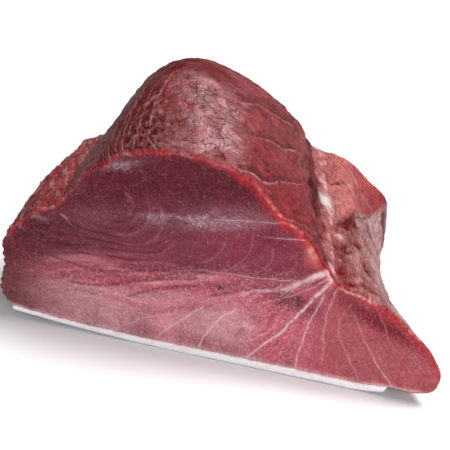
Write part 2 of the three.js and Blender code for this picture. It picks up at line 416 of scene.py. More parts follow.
# Relief in millimetres along the outward normal: low lumps and grit everywhere, torn fibre
# bundles slantwise on the shoulder, and the heel's cut edges in ridges.
lumps = outer_noise(26, 34, 21)
blotch = outer_noise(7, 9, 22)
grit = outer_noise(3.6, 4.6, 23)
fibres = outer_noise(3.2, 34, 25)
crumb = outer_noise(2.8, 3.4, 97, 2)
bundles = rough_noise((girth + 0.35 * behind) / 8, behind / 40, 61)
tears = rough_noise((girth + 0.5 * behind) / 4.2, behind / 16, 65)
SAW_PITCH = 6.2
sawn_girth = girth + 1.6 * lattice_noise(behind / 30, girth / 40, 63)
saw_teeth = np.abs((sawn_girth / SAW_PITCH) % 1 - 0.5) * 2
relief = 0.8 * lumps + 0.5 * blotch + 0.4 * grit
relief += on_shoulder * (2.0 * bundles + 1.6 * tears + 0.5 * grit - 0.4)
relief += on_heel * ease(girth, 0, 8) * (1.6 * (saw_teeth - 0.5) + 0.8 * grit)
relief += on_flank * (0.5 * fibres + 0.5 * tears)

# The flank's right part is pitted with hollows, painted dark as shade, and the membrane is wrinkled.
hollow_gap = cell_edges((girth + 4 * drift) / 7, (behind + 5 * drift_too) / 8.5, 73)
in_hollow = ease(hollow_gap + 0.25 * blotch, 0.12, 0.45)
crack_gap = cell_edges((girth + 5 * drift) / 9, (behind - 5 * drift_too) / 10, 75)
relief -= 1.7 * with_holes * in_hollow
relief -= 0.6 * on_net * (1 - ease(crack_gap, 0, 0.2))
relief += 0.5 * on_net * blotch
relief += 0.3 * on_layers * crumb
relief += 1.8 * on_fascia * outer_noise(6, 8, 77)

# The septum with its lumps, the crevice beside it, and the raised facet on the lobe with
# ridges at its back. The wall below the facet has hollows, pits and one pale lump.
gristle = outer_noise(4.5, 7, 91)
RIDGE_PITCH = 7.2
ridge_turn = 2 * np.pi * (behind + 0.25 * girth) / RIDGE_PITCH + 2 * lattice_noise(girth / 9, behind / 9, 93)
ridged = past_notch * (1 - ease(girth, 410, 422)) * ease(behind, 126, 142)
hollows = [  # girth and depth of the middle, and the reach both ways
    (433, 104, 8, 7), (421, 94, 9, 8), (408, 82, 7, 7),
    (416, 60, 7, 5), (404, 48, 4.5, 6), (424, 40, 5, 6),
]
hollow = sum(bell(girth - g + 3 * grit, a) * bell(behind - y + 4 * drift, b) for g, y, a, b in hollows)
hollow = np.clip(hollow * (0.9 + 0.7 * blotch), 0, 1)
red_pits = outer_spot(400, 17, 6, 5) + outer_spot(406, 7, 6, 3)
slit = bell(girth - 402, 7) * bell(behind - 136 - 0.5 * (girth - 402), 1.5)
pale_lump = 0.8 * bell(girth - 401 + 2 * grit, 3.4) * bell(behind - 62 + 2 * drift, 3.6)
relief -= (
    4.0 * by_crevice * (1 - 0.7 * ease(behind, 92, 116))
    * np.clip(0.7 + 0.9 * outer_noise(7, 9, 49), 0, 1.4)
)
relief += on_septum * (0.8 + 1.4 * gristle) * ease(behind, 0, 14)
relief += 1.3 * on_gristle * outer_noise(5, 6, 92)
relief += 1.2 * on_facet * (1 - on_septum) - 0.5 * on_wall * ease(behind, 4, 30)
relief += 0.9 * ridged * np.sin(ridge_turn)
relief += on_wall * (1.2 * outer_noise(7, 16, 95) + 0.6 * fibres)
relief += 1.2 * pale_lump - 2.2 * hollow - 1.8 * red_pits - 1.6 * slit
near_base = ease(girth, 0, 6) * (1 - ease(girth, girth_of["skin end"] - 8, girth_of["skin end"]))

# Seams between the muscle's layers cross the right of the hump. Each is a pale broken line
# with a groove behind it, painted dark as shade, and a fold where the layer behind stands
# higher, with painted shade beside it.
seams = [
    ([(272, 84), (288, 91), (304, 111), (320, 127), (336, 150)], (1.5, 0.3), (1.5, 0.7)),
    ([(266, 42), (278, 47), (294, 50), (308, 62), (323, 82), (341, 107)], (1.3, 0.2), (1.6, 0.9)),
    ([(295, 3), (299, 5), (313, 13), (330, 38), (349, 64)], (1.6, 1.0), (1.4, 0.6)),
    ([(338, 1), (352, 9), (367, 20)], (1.4, 0.6), (1.2, 0.4)),
    ([(300, 150), (318, 160), (334, 176)], (1.3, 0.4), (1.3, 0.4)),
]
seam_offset, seam_width, seam_strength = strand_field(
    girth + 2 * drift + 0.6 * grit, behind + 2.5 * drift_too + 0.6 * grit, seams, 8)
relief += 1.2 * seam_strength * np.tanh(seam_offset / 1.2) * bell(seam_offset, 6)
relief -= 1.0 * seam_strength * bell(seam_offset - 1.2, 1.2)

# Pale strands: along the depth on the flank, slantwise on the shoulder, along the wall, and
# in a few fine lines over the facet.
strands_outside = [
    ([(228, 2), (221, 11), (219, 30), (219, 51), (224, 78), (230, 102)], (0.9, 0.6), (1.4, 0.6)),
    ([(208, 8), (209, 30), (210, 54), (213, 88)], (1.0, 0.7), (0.8, 0.4)),
    ([(201, 26), (202, 40), (204, 58)], (1.2, 0.8), (0.9, 0.3)),
    ([(420, 172), (432, 166), (450, 165), (472, 168)], (2.4, 0.9), (1.6, 0.5)),
    ([(408, 152), (420, 140), (432, 134), (456, 140), (470, 150)], (2.4, 0.9), (1.6, 0.4)),
    ([(428, 151), (444, 150), (464, 154)], (1.8, 0.5), (1.4, 0.3)),
    ([(398, 118), (412, 112), (428, 112)], (1.6, 0.6), (1.4, 0.3)),
    ([(156, 0), (157, 8), (160, 20)], (1.6, 1.0), (0.8, 0.3)),
]
SHREDS = 34  # short strands drawn on the shoulder, and as many on the wall
draw = np.random.default_rng(7)
for start in (139, 145, 152, 158, 164, 170, 177, 183, 190, 196):
    bend = draw.uniform(-3, 3)
    strength = draw.uniform(0.35, 0.75) * (0.5 if start < 180 else 1)
    points = [(start + 6, 0), (start, 20), (start + bend, 55), (start + 6 + bend, 95), (start + 5, 150)]
    strands_outside.append((points, (0.9, strength), (0.7, 0.6 * strength)))
for start, deep, length, slant in draw.uniform((66, 0, 14, -0.45), (128, 130, 44, 0.1), (SHREDS, 4)):
    points = [(start, deep), (start + slant * length / 2 + 1, deep + length / 2),
              (start + slant * length, deep + length)]
    strands_outside.append((points, (1.3, 0.5 - slant), (0.8, 0.1)))
for start, deep, length, bend in draw.uniform((425, 5, 25, -2), (540, 130, 60, 2), (SHREDS, 4)):
    points = [(start, deep), (start + bend, deep + length / 2), (start, deep + length)]
    strands_outside.append((points, (1.2, 0.55), (0.8, 0.1)))
line_offset, line_width, line_strength = strand_field(
    girth + 0.8 * grit, behind, strands_outside, 5)
relief += 0.45 * line_strength * bell(line_offset, 1.4)
relief += 1.0 * bell(girth - 479, 5) * (1 - ease(ahead, 5, 40))
relief *= near_base * (1 - 0.75 * ease(girth, 420, 445) * (1 - ease(behind, 2, 16)))

# Colour of the outside, in layers over the red of the hump.
webbed = np.abs(rough_noise((girth - 0.6 * behind) / 9, (behind + 0.4 * girth) / 11, 135))
# Painted sheen: brighter spots where the light reflects off the wet membrane.
membrane_sheen = (
    outer_spot(255, 104, 12, 12) + 0.5 * lattice_noise(girth / 9, behind / 11, 79)
    + outer_spot(272, 36, 16, 17) + outer_spot(262, 66, 14, 16)
)
membrane_and_sheen = 0.5 + 0.4 * membrane_sheen + 0.8 * blotch - 0.25 * (1 - ease(girth, 238, 256))
by_membrane = between(girth + 6 * drift, 205, 248, 7) * (1 - 0.6 * ease(behind, 60, 110))
on_hump_back = between(girth + 8 * drift, 196, 284, 12) * ease(behind + 10 * drift_too, 92, 116)
shaded_wall = on_wall * (1 - ease(girth, 399, 409)) * between(behind + 6 * drift, 4, 60, 8)
wall_fibres = rough_noise((girth + 0.3 * behind) / 24, behind / 3.2, 133)
torn_wall = on_wall * (1 - 0.6 * on_silver)
below_facet = facet_start - behind
# Painted shadow just below the raised facet's edge.
shadow_under_facet = past_notch * between(below_facet + 3 * grit, 0, 9, 3)
fringe = bell(below_facet + 2.5 * grit, 1.6) * past_notch
fringe *= ease(girth, 402, 414) * (1 - ease(girth, 470, 482))
# Painted glow of light through the thin flesh along the front edge, with painted glints on its right part
# and pale flecks on its left.
rim_glow_here = (1 - ease(behind + 2.5 * grit + 2 * drift, 0, 4.5)) * ease(girth, 60, 140)
rim_glint_here = rim_glow_here * ease(girth, 300, 320) * (1 - ease(behind, 0.5, 2.5))
tone = painted(HUMP_RED, [
    (HUMP_DARK, (0.16 + 0.45 * blotch + 0.5 * lumps) * between(girth, 286, 374, 8)),
    (HUMP_FRONT_RED, 0.6 * between(girth, 306, 374, 10) * (1 - ease(behind, 40, 80))),
    (HEEL_BROWN, on_heel),
    (HEEL_PALE, on_heel * ease(saw_teeth + 0.5 * grit, 0.75, 1.1) * 0.6),
    (HEEL_DARK, on_heel * ease(bundles + 0.5 * grit, 0.1, 0.7) * 0.7),
    (SHOULDER_RED, on_shoulder),
    (SHOULDER_GREY, on_shoulder * ease(tears + 0.5 * grit, 0.1, 0.5)),
    (HUMP_DARK, on_shoulder * ease(-bundles, 0.0, 0.4) * 0.8),
    (THREAD_PINK, 0.7 * on_shoulder * (1 - ease(webbed, 0.02, 0.1))),
    (FLANK_RED, on_flank),
    # Grey at the flank's left edge: its fascia, partly painted sheen where the surface turns away.
    (FLANK_GREY, on_flank * (1 - ease(girth, 136, 156)) * (0.4 + 0.8 * fibres)),
    (FLANK_BACK_RED, 0.9 * on_hump_back),
    # Painted shade in the flank's hollows.
    (HOLLOW_SHADE, 0.65 * with_holes * in_hollow),
    (MOTTLE_DARK, 0.75 * by_membrane * ease(blotch + 0.6 * grit, 0.0, 0.5)),
    (MOTTLE_PALE, 0.55 * by_membrane * ease(grit - 0.5 * blotch, 0.15, 0.6)),
    # The membrane's own pink, brighter at the spots of painted sheen.
    (MEMBRANE_PINK, on_net * membrane_and_sheen),
    (FASCIA_GREY, on_fascia * (0.7 + 0.6 * fibres)),
    # Painted shade beside each seam's fold.
    (HUMP_DARK, seam_strength * bell(seam_offset - 4, 3) * 0.5),
    # The crevice's deep red, with painted shade in it and on the hump's side beside it.
    (CREVICE_RED, bell(girth - crevice_girth + 5, 7) * ease(behind, 5, 25) * (0.3 + 1.1 * blotch)),
    (CREVICE_RED, 1.1 * by_crevice * (0.8 + 0.8 * blotch) * (1 - 0.7 * ease(behind, 88, 112))),
    (CREVICE_RED, 0.9 * between(girth, crevice_girth, 386, 2) * (0.7 + 1.2 * blotch)),
    (WALL_BROWN, on_wall),
    (HUMP_DARK, on_wall * (0.7 * blotch) * (1 - on_silver) * 0.7),
    (WALL_SHADE, shaded_wall * (0.6 + 0.9 * blotch)),
    (WALL_SILVER, on_silver * (0.85 + 0.7 * fibres)),
    (WALL_PALE, 0.4 * on_silver * ease(wall_fibres, 0.05, 0.5)),
    (WALL_DARK, 0.6 * on_silver * ease(-wall_fibres, 0.05, 0.5)),
    (TORN_PALE, 0.55 * torn_wall * ease(grit + 0.4 * fibres, 0.12, 0.55)),
    (TORN_DARK, 0.55 * torn_wall * ease(0.4 * blotch - grit, 0.15, 0.6)),
    (FACET_PINK, on_facet),
    (FACET_BRIGHT, on_facet * (0.1 + 0.5 * blotch + 0.8 * (1 - ease(girth, 404, 446)))),
    (FACET_DARK, on_facet * (ease(girth, 446, 474) * 0.35 + 0.5 * ease(lumps, 0.1, 0.5))),
    (GRISTLE_PINK, on_gristle * (0.6 + 1.2 * gristle)),
    (SEPTUM_WHITE, on_gristle * ease(gristle + 0.6 * grit, 0.3, 0.75) * 0.7),
    (SEPTUM_PINK, on_septum * (0.8 + 0.9 * gristle + 0.6 * grit)),
    (SEPTUM_WHITE, on_septum * ease(gristle + 0.9 * grit, 0.1, 0.6)),
    (SEPTUM_BRIGHT, 1.4 * bell(girth - 388 + 3 * grit, 5.5) * bell(behind - 98 + 4 * drift, 9)),
    (WALL_SMEAR, 0.75 * outer_spot(413, 44, 9, 14)),
    (CREVICE_RED, 0.5 * outer_spot(394, 40, 4, 10)),
    (CREVICE_EDGE, 0.55 * outer_spot(394, 40, 6, 14)),
    (WALL_BLOOD, 0.35 * outer_spot(426, 98, 16, 14) * (1 - on_facet)),
    # Painted shade in the wall's hollows.
    (WALL_HOLLOW_SHADE, 1.4 * hollow),
    (UNDER_FACET_SHADOW, 0.9 * shadow_under_facet * (0.5 + 1.2 * blotch)),
    (FRINGE_PINK, fringe * (0.6 + 1.2 * gristle)),
    (PIT_RED, 1.2 * red_pits),
    # Painted shade in the slit.
    (SLIT_SHADE, 1.3 * slit),
    (WALL_LUMP, pale_lump),
    (RIM_GLOW_DARK, rim_glow_here * (0.6 + 0.7 * blotch) * (1 - ease(girth, 285, 305))),
    (RIM_GLOW_RED, rim_glow_here * (0.65 + 0.9 * blotch) * ease(girth, 285, 305)),
    (RIM_GLINT, rim_glint_here * ease(grit + 0.5 * drift, 0.2, 0.6)),
    (RIM_PINK, 0.8 * rim_glow_here * ease(grit, 0.2, 0.6) * (1 - ease(girth, 290, 310))),
])
tone *= (1 + 0.14 * outer_noise(9, 14, 99) + 0.14 * grit + (0.1 + 0.4 * on_layers) * crumb)[..., None]

# The outward normal of the smooth surface; at both cuts it has no part along the depth.
smooth_points = np.stack([out_x, out_y, out_z], axis=-1)
normal = np.cross(np.gradient(smooth_points, axis=1), np.gradient(smooth_points, axis=0))
normal[..., 1] *= ease(behind, 0, 8) * ease(ahead, 0, 8)
normal /= np.linalg.norm(normal, axis=-1, keepdims=True)
front_inset = FRONT_ROUND - np.sqrt(FRONT_ROUND**2 - np.clip(FRONT_ROUND - behind, 0, FRONT_ROUND) ** 2)
back_reach = np.clip(back_round - ahead, 0, back_round)
back_inset = back_round - np.sqrt(np.maximum(0, back_round**2 - back_reach**2))
inset = (front_inset + back_inset) * near_base
outside = smooth_points + normal * (relief - inset)[..., None]
outside[..., 1] = np.clip(outside[..., 1], 0, depth_at(outside[..., 0]))
outside[0, :, 1] = 0
outside[-1, :, 1] = depth_at(outside[-1, :, 0])


def cut_grid(row):
    """The flat cut inside one row of the outline: a four-sided patch between the heel, the
    top, the tip and the fat, whose points are the sum of the two ruled blends of opposite
    sides less the blend of the four corners."""
    left = row[:SIDE_STEPS + 1]
    top = row[SIDE_STEPS:SIDE_STEPS + TOP_STEPS + 1]
    right = row[SIDE_STEPS + TOP_STEPS:][::-1]
    along = ((top[:, 0] - top[0, 0]) / (top[-1, 0] - top[0, 0]))[None, :, None]
    up = np.linspace(0, 1, SIDE_STEPS + 1)[:, None, None]
    base = left[0] + (right[0] - left[0]) * along[0]
    base[1:-1, 2] = fat_height(along[0, 1:-1, 0], base[1:-1, 0], base[1:-1, 1])
    ruled = (1 - up) * base + up * top + (1 - along) * left[:, None] + along * right[:, None]
    corners = (1 - along) * ((1 - up) * left[0] + up * left[-1])
    corners = corners + along * ((1 - up) * right[0] + up * right[-1])
    return ruled - corners


front_cut = cut_grid(outside[0])
back_cut = cut_grid(outside[-1])
cut_x = front_cut[..., 0]
cut_z = front_cut[..., 2]

# Growth rings round the loin's core, each by its reach to the right and below. Above and to
# the left it reaches a share of that, and the whole leans up to the right.
RING_CORE = (-212, 111)
RING_LEAN = 0.17
RING_RIGHT = np.array([0, 9, 19, 29, 45, 62, 87, 109, 130, 146, 166, 190, 215])
RING_BELOW = np.array([0, 6, 12, 18.3, 24.3, 30, 35, 41.4, 49.2, 57, 66, 76, 88])
RING_ABOVE = 1.3
RING_LEFT = 0.8


def ring_number(x, z):
    """Number of the ring through a point, from a fine series of trial rings. Each ring is
    (|dx| / reach)^n + (|dz| / height)^n = 1, with n growing from 2 to 3.4."""
    dx = x - RING_CORE[0]
    dz = z - RING_CORE[1] - RING_LEAN * dx * ease(np.abs(dx), 10, 60)
    number = np.full(x.shape, len(RING_RIGHT) - 1.0)
    before = np.full(x.shape, 1.0)
    step = 0.25
    for trial in np.arange(step, len(RING_RIGHT) - 1, step):
        reach = np.interp(trial, np.arange(len(RING_RIGHT)), RING_RIGHT)
        height = np.interp(trial, np.arange(len(RING_BELOW)), RING_BELOW)
        power = np.interp(trial, [3, 7], [2, 3.4])
        wide = np.abs(dx) / np.where(dx > 0, reach, reach * RING_LEFT + 12 * ease(trial, 0, 4))
        high = np.abs(dz) / np.where(dz < 0, height, height * RING_ABOVE)
        beyond = (wide**power + high**power) ** (1 / power) - 1
        crossed = (beyond <= 0) & (before > 0)
        found = trial - step * beyond / np.minimum(-1e-9, beyond - before)
        number = np.where(crossed, np.clip(found, trial - step, trial), number)
        before = np.where(before > 0, beyond, before)
    return number


ring = ring_number(cut_x, cut_z) + 0.12 * rough_noise(cut_x / 22, cut_z / 12, 101)
ring_slope = np.hypot(
    np.gradient(ring, axis=1) / np.maximum(0.2, np.abs(np.gradient(cut_x, axis=1))),
    np.gradient(ring, axis=0) / np.maximum(0.2, np.abs(np.gradient(cut_z, axis=0))),
)
ring_gap = np.clip(1 / np.maximum(ring_slope, 0.02), 4, 30)

# Septa in the cut: from the white knot at the notch they fan out to the left and down to the
# skin. Points are x and z; then width and strength. Lines of one group keep well apart.
KNOT = (-45, 86)
septa = [
    ([(-45, 89), (-52, 86), (-61, 80), (-76, 70.5), (-99, 63.5), (-122, 54), (-136, 51)],
     (5.2, 1.0), (0.8, 0.05)),
    ([(-46, 84.5), (-56, 75), (-70, 66.5), (-86, 59), (-104, 51)], (1.6, 0.5), (0.9, 0.1)),
    ([(-49, 70), (-55, 54), (-59.6, 46), (-63, 31), (-67, 18), (-68, 7)], (1.6, 0.5), (1.6, 0.7)),
    ([(-30, 66), (-36, 56), (-37, 44), (-31, 28.5), (-24.5, 16), (-21, 8)], (1.4, 0.16), (1.6, 0.25)),
    ([(-8, 62), (-4, 54), (-1, 43.5), (4, 34)], (1.0, 0.2), (1.0, 0.15)),
    ([(-116, 45), (-124.6, 39), (-132, 29), (-139, 20), (-145, 8)], (1.4, 0.8), (1.2, 0.8)),
    ([(-182, 26), (-202, 16), (-215, 7)], (0.9, 0.4), (0.9, 0.4)),
    ([(-94, 107), (-82, 108), (-66, 109)], (0.9, 0.15), (1.0, 0.6)),
    ([(-139, 79), (-129.5, 86), (-124.5, 93.5), (-122, 101)], (1.6, 0.12), (1.3, 0.1)),
    ([(-98, 79), (-93, 83.5), (-88, 90), (-87, 96)], (1.5, 0.06), (1.2, 0.14)),
    ([(-255, 96), (-252, 94.5), (-249.5, 91), (-245, 89)], (1.9, 0.32), (1.4, 0.1)),
    ([(-178, 48.6), (-168, 50)], (1.4, 0.2), (1.2, 0.2)),
    ([(-104, 22), (-92, 31), (-84, 39)], (0.8, 0.35), (0.8, 0.3)),
]
more_septa = [
    ([(-42.5, 85), (-47.5, 77), (-55, 67.5), (-66, 53.5), (-80, 34), (-95, 20), (-106, 8)],
     (3.0, 0.95), (1.3, 0.8)),
    ([(-41, 74), (-46, 56), (-48, 42), (-48, 28), (-49, 18)], (1.4, 0.45), (1.2, 0.2)),
    ([(-25, 58), (-18, 41), (-9.5, 26), (0.5, 12), (5, 7)], (1.2, 0.2), (1.7, 0.55)),
    ([(15.5, 36), (23, 26)], (1.0, 0.25), (1.0, 0.2)),
    ([(-142, 41), (-149, 36), (-157, 29), (-172, 16), (-180, 7)], (1.8, 0.7), (1.4, 0.6)),
    ([(-58, 79), (-80, 76.2), (-100, 74.3), (-122, 73), (-145, 72), (-160, 68), (-172, 64)],
     (0.9, 0.6), (0.8, 0.12)),
    ([(-130, 114), (-114, 116), (-98, 117.5), (-80, 119.5)], (0.9, 0.3), (0.9, 0.4)),
    ([(-118, 79), (-109.5, 86), (-104.5, 93.5), (-102, 106)], (1.6, 0.12), (1.3, 0.1)),
    ([(-82, 80), (-72, 86), (-69.5, 96)], (1.5, 0.12), (1.3, 0.1)),
    ([(-194, 52), (-185, 53), (-176, 55)], (1.4, 0.2), (1.4, 0.2)),
    ([(-110, 22), (-100, 30), (-92, 38)], (0.8, 0.35), (0.8, 0.3)),
    ([(-154, 84), (-162, 77), (-172, 73)], (1.4, 0.05), (1.4, 0.05)),
]

# Creases between the growth rings, dark with a pale band below, low on the left of the cut.
creases = [
    ([(-243, 69), (-226, 68.4), (-207, 69.4), (-193, 71), (-180, 73.6), (-160, 75)],
     (1.3, 0.7), (1.2, 0.7)),
    ([(-250, 42), (-226, 44.4), (-205, 50), (-185, 56), (-168, 60), (-146, 64.4)],
     (1.3, 0.9), (1.5, 0.9)),
    ([(-136, 51.5), (-120, 57.5), (-100, 64.5), (-86, 69)], (1.2, 0.8), (1.6, 0.7)),
    ([(-202, 84.6), (-189, 87.5), (-178, 95), (-174, 104), (-175, 113)], (1.2, 0.9), (1.1, 0.7)),
    ([(-198, 124), (-193.5, 118), (-192.5, 111), (-196, 105)], (1.1, 0.8), (1.0, 0.7)),
    ([(-96, 41), (-107, 32.7), (-114, 25)], (0.9, 0.35), (0.9, 0.3)),
    ([(-278, 84), (-262, 80), (-246, 79)], (1.0, 0.4), (0.9, 0.4)),
]
more_creases = [
    ([(-208, 77), (-193, 78.6), (-178, 81), (-164, 91)], (1.2, 0.8), (1.0, 0.6)),
    ([(-271, 62), (-252, 58), (-233, 54.8), (-210, 57.8), (-190, 63), (-168, 67), (-148, 72)],
     (1.3, 0.8), (1.3, 0.8)),
    ([(-200, 40.5), (-185, 47.3), (-168, 53), (-147, 57.8)], (1.2, 0.8), (1.3, 0.8)),
    ([(-136, 43.5), (-130, 46.8), (-119, 51)], (0.8, 0.35), (0.8, 0.3)),
    ([(-207, 92), (-195, 95), (-187, 102), (-184, 112), (-186, 121)], (1.1, 0.8), (1.0, 0.7)),
    ([(-300, 64), (-286, 60), (-272, 50)], (1.0, 0.35), (0.9, 0.3)),
]
drawn_x = cut_x + 1.1 * rough_noise(cut_x / 9, cut_z / 7, 103)
drawn_z = cut_z + 1.1 * rough_noise(cut_x / 9, cut_z / 7, 105)
swept_z = cut_z + 1.2 * lattice_noise(cut_x / 26, cut_z / 14, 109)
cut_lines = {
    "septum": strand_field(drawn_x, drawn_z, septa, 6),
    "more_septum": strand_field(drawn_x, drawn_z, more_septa, 6),
    "crease": strand_field(cut_x, swept_z, creases, 6),
    "more_crease": strand_field(cut_x, swept_z, more_creases, 6),
}

# Colours of the cut, as they look in the studio's light: dark and purple above the long line
# of the septa, pink below it.
CUT_TOP = (98, 38, 49)
CUT_CORE = (116, 57, 69)
CUT_PURPLE = (138, 60, 76)
CUT_DEEP = (122, 48, 64)
CUT_SHEEN = (150, 108, 119)
CUT_MIDDLE = (187, 89, 103)
CUT_LOW = (201, 141, 149)
CUT_LOW_LEFT = (190, 134, 138)
CUT_LOW_SPOT = (222, 168, 174)
CUT_BY_FAT = (176, 100, 110)
CUT_HEEL = (116, 60, 66)
CUT_LEFT = (156, 98, 102)
CUT_LEFT_TOP = (104, 46, 55)
CUT_LOBE = (174, 86, 94)
CUT_LOBE_DARK = (126, 38, 50)
CUT_MURKY = (114, 46, 60)
CUT_MURKY_DARK = (92, 36, 50)
# Painted glow and glint just inside the cut's upper edge.
CUT_RIM_GLOW = (188, 44, 52)
CUT_RIM_GLOW_LOW = (206, 106, 104)
CUT_RIM_GLOW_HIGH = (226, 144, 136)
CUT_RIM_GLINT = (236, 128, 124)
KNOT_WHITE = (246, 214, 214)
KNOT_RED = (186, 76, 82)
GLINT_MAUVE = (160, 112, 126)
FRAYED_PINK = (196, 120, 122)
BRUISE_RED = (84, 20, 32)
MOTTLED_BROWN = (70, 24, 34)
VESSEL_DARK = (44, 16, 26)
VESSEL_RED = (96, 30, 40)
LOBE_EDGE_PINK = (236, 186, 180)
FAT_EDGE_PINK = (218, 166, 170)


def cut_noise(x_grain, z_grain, seed):
    """Rough noise over the cut, with its grain in millimetres both ways."""
    return rough_noise(cut_x / x_grain, cut_z / z_grain, seed)


def cut_spot(x, z, x_reach, z_reach, lean=0):
    """A soft oval spot on the cut, the product of two bell curves, leaning up to the right."""
    return bell(cut_x - x, x_reach) * bell(cut_z - z - lean * (cut_x - x), z_reach)


rim = front_cut[-1]
apart = np.min(
    np.hypot(cut_x[..., None] - rim[::3, 0], cut_z[..., None] - rim[::3, 2]), axis=-1)
patchy = cut_noise(12, 7, 119)
coarse = cut_noise(4, 3, 113)
brushed = cut_noise(11, 2.2, 107)
line_lean = np.where(cut_x < -123, 0.19, 0.1)
above_line = cut_z - (73 + line_lean * (cut_x + 123)) + 2 * patchy
bands = rough_noise(ring * 1.3, cut_x / 80, 125)
pink_from = np.interp(cut_x, [-300, -250, -200, -150, -100], [14, 10, -1, -3, -1])
pink_from = pink_from + 16 * bands * ease(cut_x, -300, -250) * (1 - ease(cut_x, -130, -90))
pink_starts = np.interp(cut_x, [-230, -120], [-18, -9])
pink_ends = np.interp(cut_x, [-230, -120], [15, 3])
pink = 1 - ease(above_line - pink_from, pink_starts, pink_ends)
low = pink * (1 - ease(above_line - pink_from, -34, -8)) * (1 - 0.95 * ease(cut_x, -126, -88))

# A sheen where the cut catches the light, in streaks along the brushed grain.
sheen_height = cut_z - 0.11 * (cut_x + 150)
sheen = between(cut_x, -184, -100, 16) * ease(sheen_height, 99, 110)
sheen *= 1 - ease(sheen_height, 112.5, 115)
painted_sheen = sheen * (0.8 + 0.9 * brushed + 0.4 * coarse) * (1 - 0.4 * ease(cut_x, -140, -110))
painted_sheen += cut_spot(-204, 143.75, 15, 3.2, 0.25) * (1 + 0.9 * brushed + 0.6 * coarse)
painted_sheen += 0.15 * cut_spot(-225, 100, 18, 8) * (1 + brushed) + 0.3 * cut_spot(-250, 124, 12, 6)
painted_sheen += 0.35 * cut_spot(-120, 119, 30, 5, 0.1) * (1 + brushed)

# Just inside the upper edge the flesh is thin enough to glow red, most of all on the right.
rim_strength = np.interp(cut_x, [-300, -150, -112, -60, 0, 37], [0.6, 0.7, 1, 1, 0.85, 0.8])
rim_width = np.interp(cut_x, [-300, -150, -118, -60, -40, 10, 37], [2, 2.4, 5, 6, 4.5, 6, 5])
rim_edge = apart + 3.0 * cut_noise(8, 8, 117) + 1.2 * coarse
rim_start = np.interp(cut_x, [-50, -30], [0.25, 0.0])
rim_glow = rim_strength * (1 - ease(rim_edge, rim_start * rim_width, 1.35 * rim_width))

